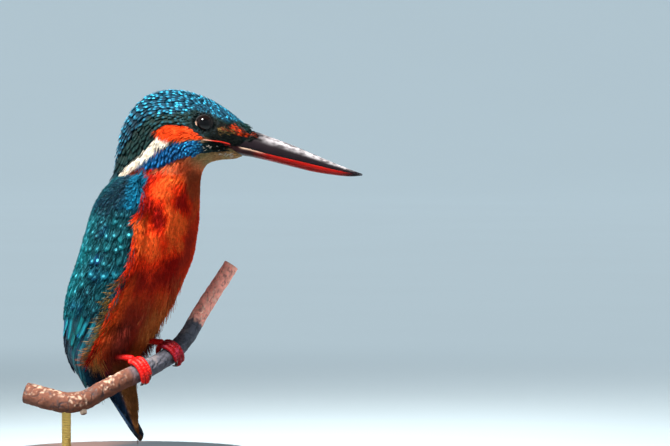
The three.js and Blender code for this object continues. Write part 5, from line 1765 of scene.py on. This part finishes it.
def twig_stub(name, knob, dye, material):
    """A broken twig: a short tube that stands out from the branch, narrower and ragged at its end."""
    share, turn, length, r = knob
    along, turn = np.array(share * (len(PERCH) - 1)), np.array(math.radians(turn))
    out, section = grid(np.linspace(0, 1, 24), 28)
    axis, root = perch_at(along)[1], by_perch(along, turn, 0.0)
    outward = unit(by_perch(along, turn, 1.0) - root)
    girth = r * (1.25 - 0.45 * out) * rounded(out, 0.02, 0.12)
    across = around(section, axis, np.cross(axis, outward))
    points = root + (1 + (length - 1) * out)[..., None] * outward + girth[..., None] * across
    points = points + 0.12 * noise(points, 0.8, 106)[..., None] * across
    tint = bark_tint(points, along, dye)
    tint = paint(tint, dye.bark_cream, smooth(out, 0.3, 0.7) * fade(out, 0.8, 0.95) * 0.8)
    tint = paint(tint, dye.shadow_and_bark_grey * 0.4, smooth(out, 0.92, 0.99) * 0.6)
    tube_piece(name, [(points, tint, False)], material, "bark")


class PerchOperator(bpy.types.Operator):
    """Builds the branch with its bark, its broken twigs and its sawn ends"""

    bl_idname = "kingfisher.perch"
    bl_label = "Branch"

    def execute(self, context):
        dye = palette(context.scene.kingfisher.hard)
        bark = painted_material("bark", 0.85, 0.5, 700.0, bump=0.00025)
        branch(dye, bark)
        for number, knob in enumerate(KNOBS, 1):
            twig_stub(f"twig_stub_{number}", knob, dye, bark)
        return {"FINISHED"}


# ---- The stand and the stage ----
def lathe(profile, sides):
    """A closed surface of revolution about the upright axis from (radius, height) rows."""
    row, turn = grid(np.arange(len(profile)), sides)
    radius, height = np.moveaxis(np.array(profile, float)[row], -1, 0)
    return stacked(radius * np.cos(turn), radius * np.sin(turn), height)


def quarter(r, steps):
    """Points of a quarter circle of radius r, as steps out and down from its top."""
    return [(r * math.sin(a), r - r * math.cos(a)) for a in np.linspace(0, math.pi / 2, steps)]


def heading(azimuth, elevation):
    """The direction from the model towards an azimuth from its front and an elevation."""
    level = math.cos(elevation)
    return Vector((math.sin(azimuth) * level, -math.cos(azimuth) * level, math.sin(elevation)))


def walnut_material(tint):
    """Walnut: growth bands across the grain, streaked along it."""
    shader = Shader("walnut", 0.38, Coat_Weight=0.2)
    rings = shader.noise(22.0, 4.0, (0.25, 3.0, 3.0))
    grain = shader.noise(420.0, 4.0, (0.04, 1, 1))
    shade = shader.times(shader.ramp(rings, 0.35, 0.65, 0.55, 1.45), shader.ramp(grain, 0.3, 0.7, 0.8, 1.15))
    shader.link(shader.scaled(shader.uniform(tint), shade))
    shader.bump(grain, 0.00008)
    return shader.material


def brass_material(tint):
    """Brushed brass: bright metal with fine level scratches."""
    shader = Shader("brass", Metallic=1.0, Base_Color=(*(float(part) for part in tint), 1.0))
    scratch = shader.noise(900.0, 2.0, (0.1, 0.1, 3.0))
    shader.link(shader.ramp(scratch, 0.3, 0.7, 0.2, 0.38), "Roughness")
    shader.bump(scratch, 0.00002)
    return shader.material


class StandOperator(bpy.types.Operator):
    """Builds the round walnut base and the brass rod that holds the branch"""

    bl_idname = "kingfisher.stand"
    bl_label = "Stand"

    def execute(self, context):
        dye = palette(context.scene.kingfisher.hard)
        radius, top, rod = STAND["radius"], STAND["height"], STAND["rod"]
        edge = [(radius - 1.2 + out, top - down) for out, down in quarter(1.2, 7)]
        base = [(0.01, top), (radius * 0.5, top), *edge, (radius, 0.4), (radius - 0.4, 0), (0.01, 0)]
        x, y, high = (float(part) for part in perch_at(STAND["rod_along"] * (len(PERCH) - 1))[0])
        pole = [
            (0.01, high), (rod, high), (rod, top + 2.2), (rod + 0.3, top + 1.9), (3.1, top + 1.6), (3.3, top + 1.2),
            (3.3, top + 0.02), (0.01, top + 0.02),
        ]
        for kind, node, profile, sides, place, material in (
            ("walnut", "stand_base", base, 128, (0, 0, 0), walnut_material(dye.walnut)),
            ("brass", "stand_rod", pole, 48, (x, y, 0), brass_material(dye.brass)),
        ):
            points, faces = lathe(profile, sides) + np.array(place), tube_faces(1, len(profile), sides)
            piece = make_piece(f"{node}_{kind}", points, faces, material, smooth_faces=False)
            seat(piece, f"stand_{kind}", node)
        return {"FINISHED"}


def floor(tint):
    """The pale floor, which rises to a wall all round and glows a little away from the model."""
    bend = [(3.0 + out, down) for out, down in quarter(1.2, 16)]
    profile = [(0.001, 0), (0.5, 0), (1.5, 0), *bend, (4.2, 3.4)]
    points = lathe(np.array(profile) / MM, 96)
    walls = (len(profile) - 1) * 96 * 2 + 94
    shader = Shader("floor", 0.9, Emission_Color=(0.76, 0.92, 1.0, 1.0))
    x, y, _ = shader.split(shader.place())
    away = shader.math("POWER", shader.plus(shader.math("POWER", x, 2.0), shader.math("POWER", y, 2.0)), 0.5)
    shader.link(shader.ramp(away, 0.12, 0.75, 0.02, 0.43), "Emission Strength")
    shader.link(shader.scaled(shader.uniform(tint), shader.ramp(shader.noise(6.0), 0.3, 0.7, 0.985, 1.015)))
    make_piece("floor", points, tube_faces(1, len(profile), 96)[:walls], shader.material)


def lights(scene, stage):
    """A large key light from the camera's upper left, a weak fill from its right, and a pale sky."""
    for name, azimuth, elevation, distance, size, spread, power, tint in (
        ("key", -12, 55, 1.4, 0.4, 26, stage.key, (1.0, 0.96, 0.9)),
        ("fill", 100, 20, 1.6, 1.2, 60, stage.fill, (0.9, 0.95, 1.0)),
    ):
        away = heading(math.radians(azimuth), math.radians(elevation))
        lamp = bpy.data.lights.new(name, "AREA")
        lamp.shape, lamp.size, lamp.energy, lamp.color = "DISK", size, power, tint
        lamp.spread = math.radians(spread)
        lit = bpy.data.objects.new(name, lamp)
        lit.location = Vector((0.01, 0, 0.08)) + away * distance
        lit.rotation_euler = away.to_track_quat("Z", "Y").to_euler()
        scene.collection.objects.link(lit)
    world = bpy.data.worlds.new("studio")
    world.use_nodes = True
    world.node_tree.nodes["Background"].inputs["Color"].default_value = (0.86, 0.9, 0.94, 1)
    world.node_tree.nodes["Background"].inputs["Strength"].default_value = 0.24
    scene.world = world
    scene.view_settings.view_transform = "Standard"


def camera(scene, stage):
    """A long lens that sees the frame's width at the target."""
    back = heading(stage.azimuth, stage.elevation)
    lens = bpy.data.cameras.new("camera")
    lens.sensor_width = 36
    lens.lens = 36 * stage.distance / stage.frame_width
    lens.clip_end = 20
    made = bpy.data.objects.new("camera", lens)
    made.location = Vector((0.0597, 0.0317, 0.0836)) + back * stage.distance
    made.rotation_euler = back.to_track_quat("Z", "Y").to_euler()
    scene.collection.objects.link(made)
    scene.camera = made


class StageOperator(bpy.types.Operator):
    """Sets the pale floor that rises to a wall all round, the soft lights and the camera"""

    bl_idname = "kingfisher.stage"
    bl_label = "Stage"

    def execute(self, context):
        stage = context.scene.kingfisher.stage
        floor(stage.floor)
        lights(context.scene, stage)
        camera(context.scene, stage)
        return {"FINISHED"}


# ---- The panel ----
PIECES = [
    SkinOperator, HeadOperator, FaceOperator, BristleOperator, BreastOperator, BackOperator,
    StrandOperator, WingOperator, TailOperator, BillOperator, EyesOperator, FeetOperator,
    PerchOperator, StandOperator, StageOperator,
]
SETTINGS = [PlumageColours, HardColours, CoatSettings, StageSettings, KingfisherSettings]


class KingfisherPanel(bpy.types.Panel):
    """The model's settings and the buttons that build its pieces"""

    bl_idname = "VIEW3D_PT_kingfisher"
    bl_label = "Kingfisher"
    bl_space_type = "VIEW_3D"
    bl_region_type = "UI"
    bl_category = "Kingfisher"

    def draw(self, context):
        settings = context.scene.kingfisher
        for piece in PIECES:
            self.layout.operator(piece.bl_idname)
        for group in (settings.plumage, settings.hard, settings.coat, settings.stage):
            column = self.layout.column()
            for key in type(group).__annotations__:
                column.prop(group, key)


def register():
    for one in [*SETTINGS, *PIECES, KingfisherPanel]:
        bpy.utils.register_class(one)
    bpy.types.Scene.kingfisher = PointerProperty(type=KingfisherSettings)


def unregister():
    del bpy.types.Scene.kingfisher
    for one in reversed([*SETTINGS, *PIECES, KingfisherPanel]):
        bpy.utils.unregister_class(one)


def plain(box):
    """A box's two corners as plain lists of numbers."""
    return [[float(value) for value in corner] for corner in box]


def main():
    register()
    for piece in PIECES:
        getattr(bpy.ops.kingfisher, piece.bl_idname.partition(".")[2])()


if __name__ == "__main__":
    main()
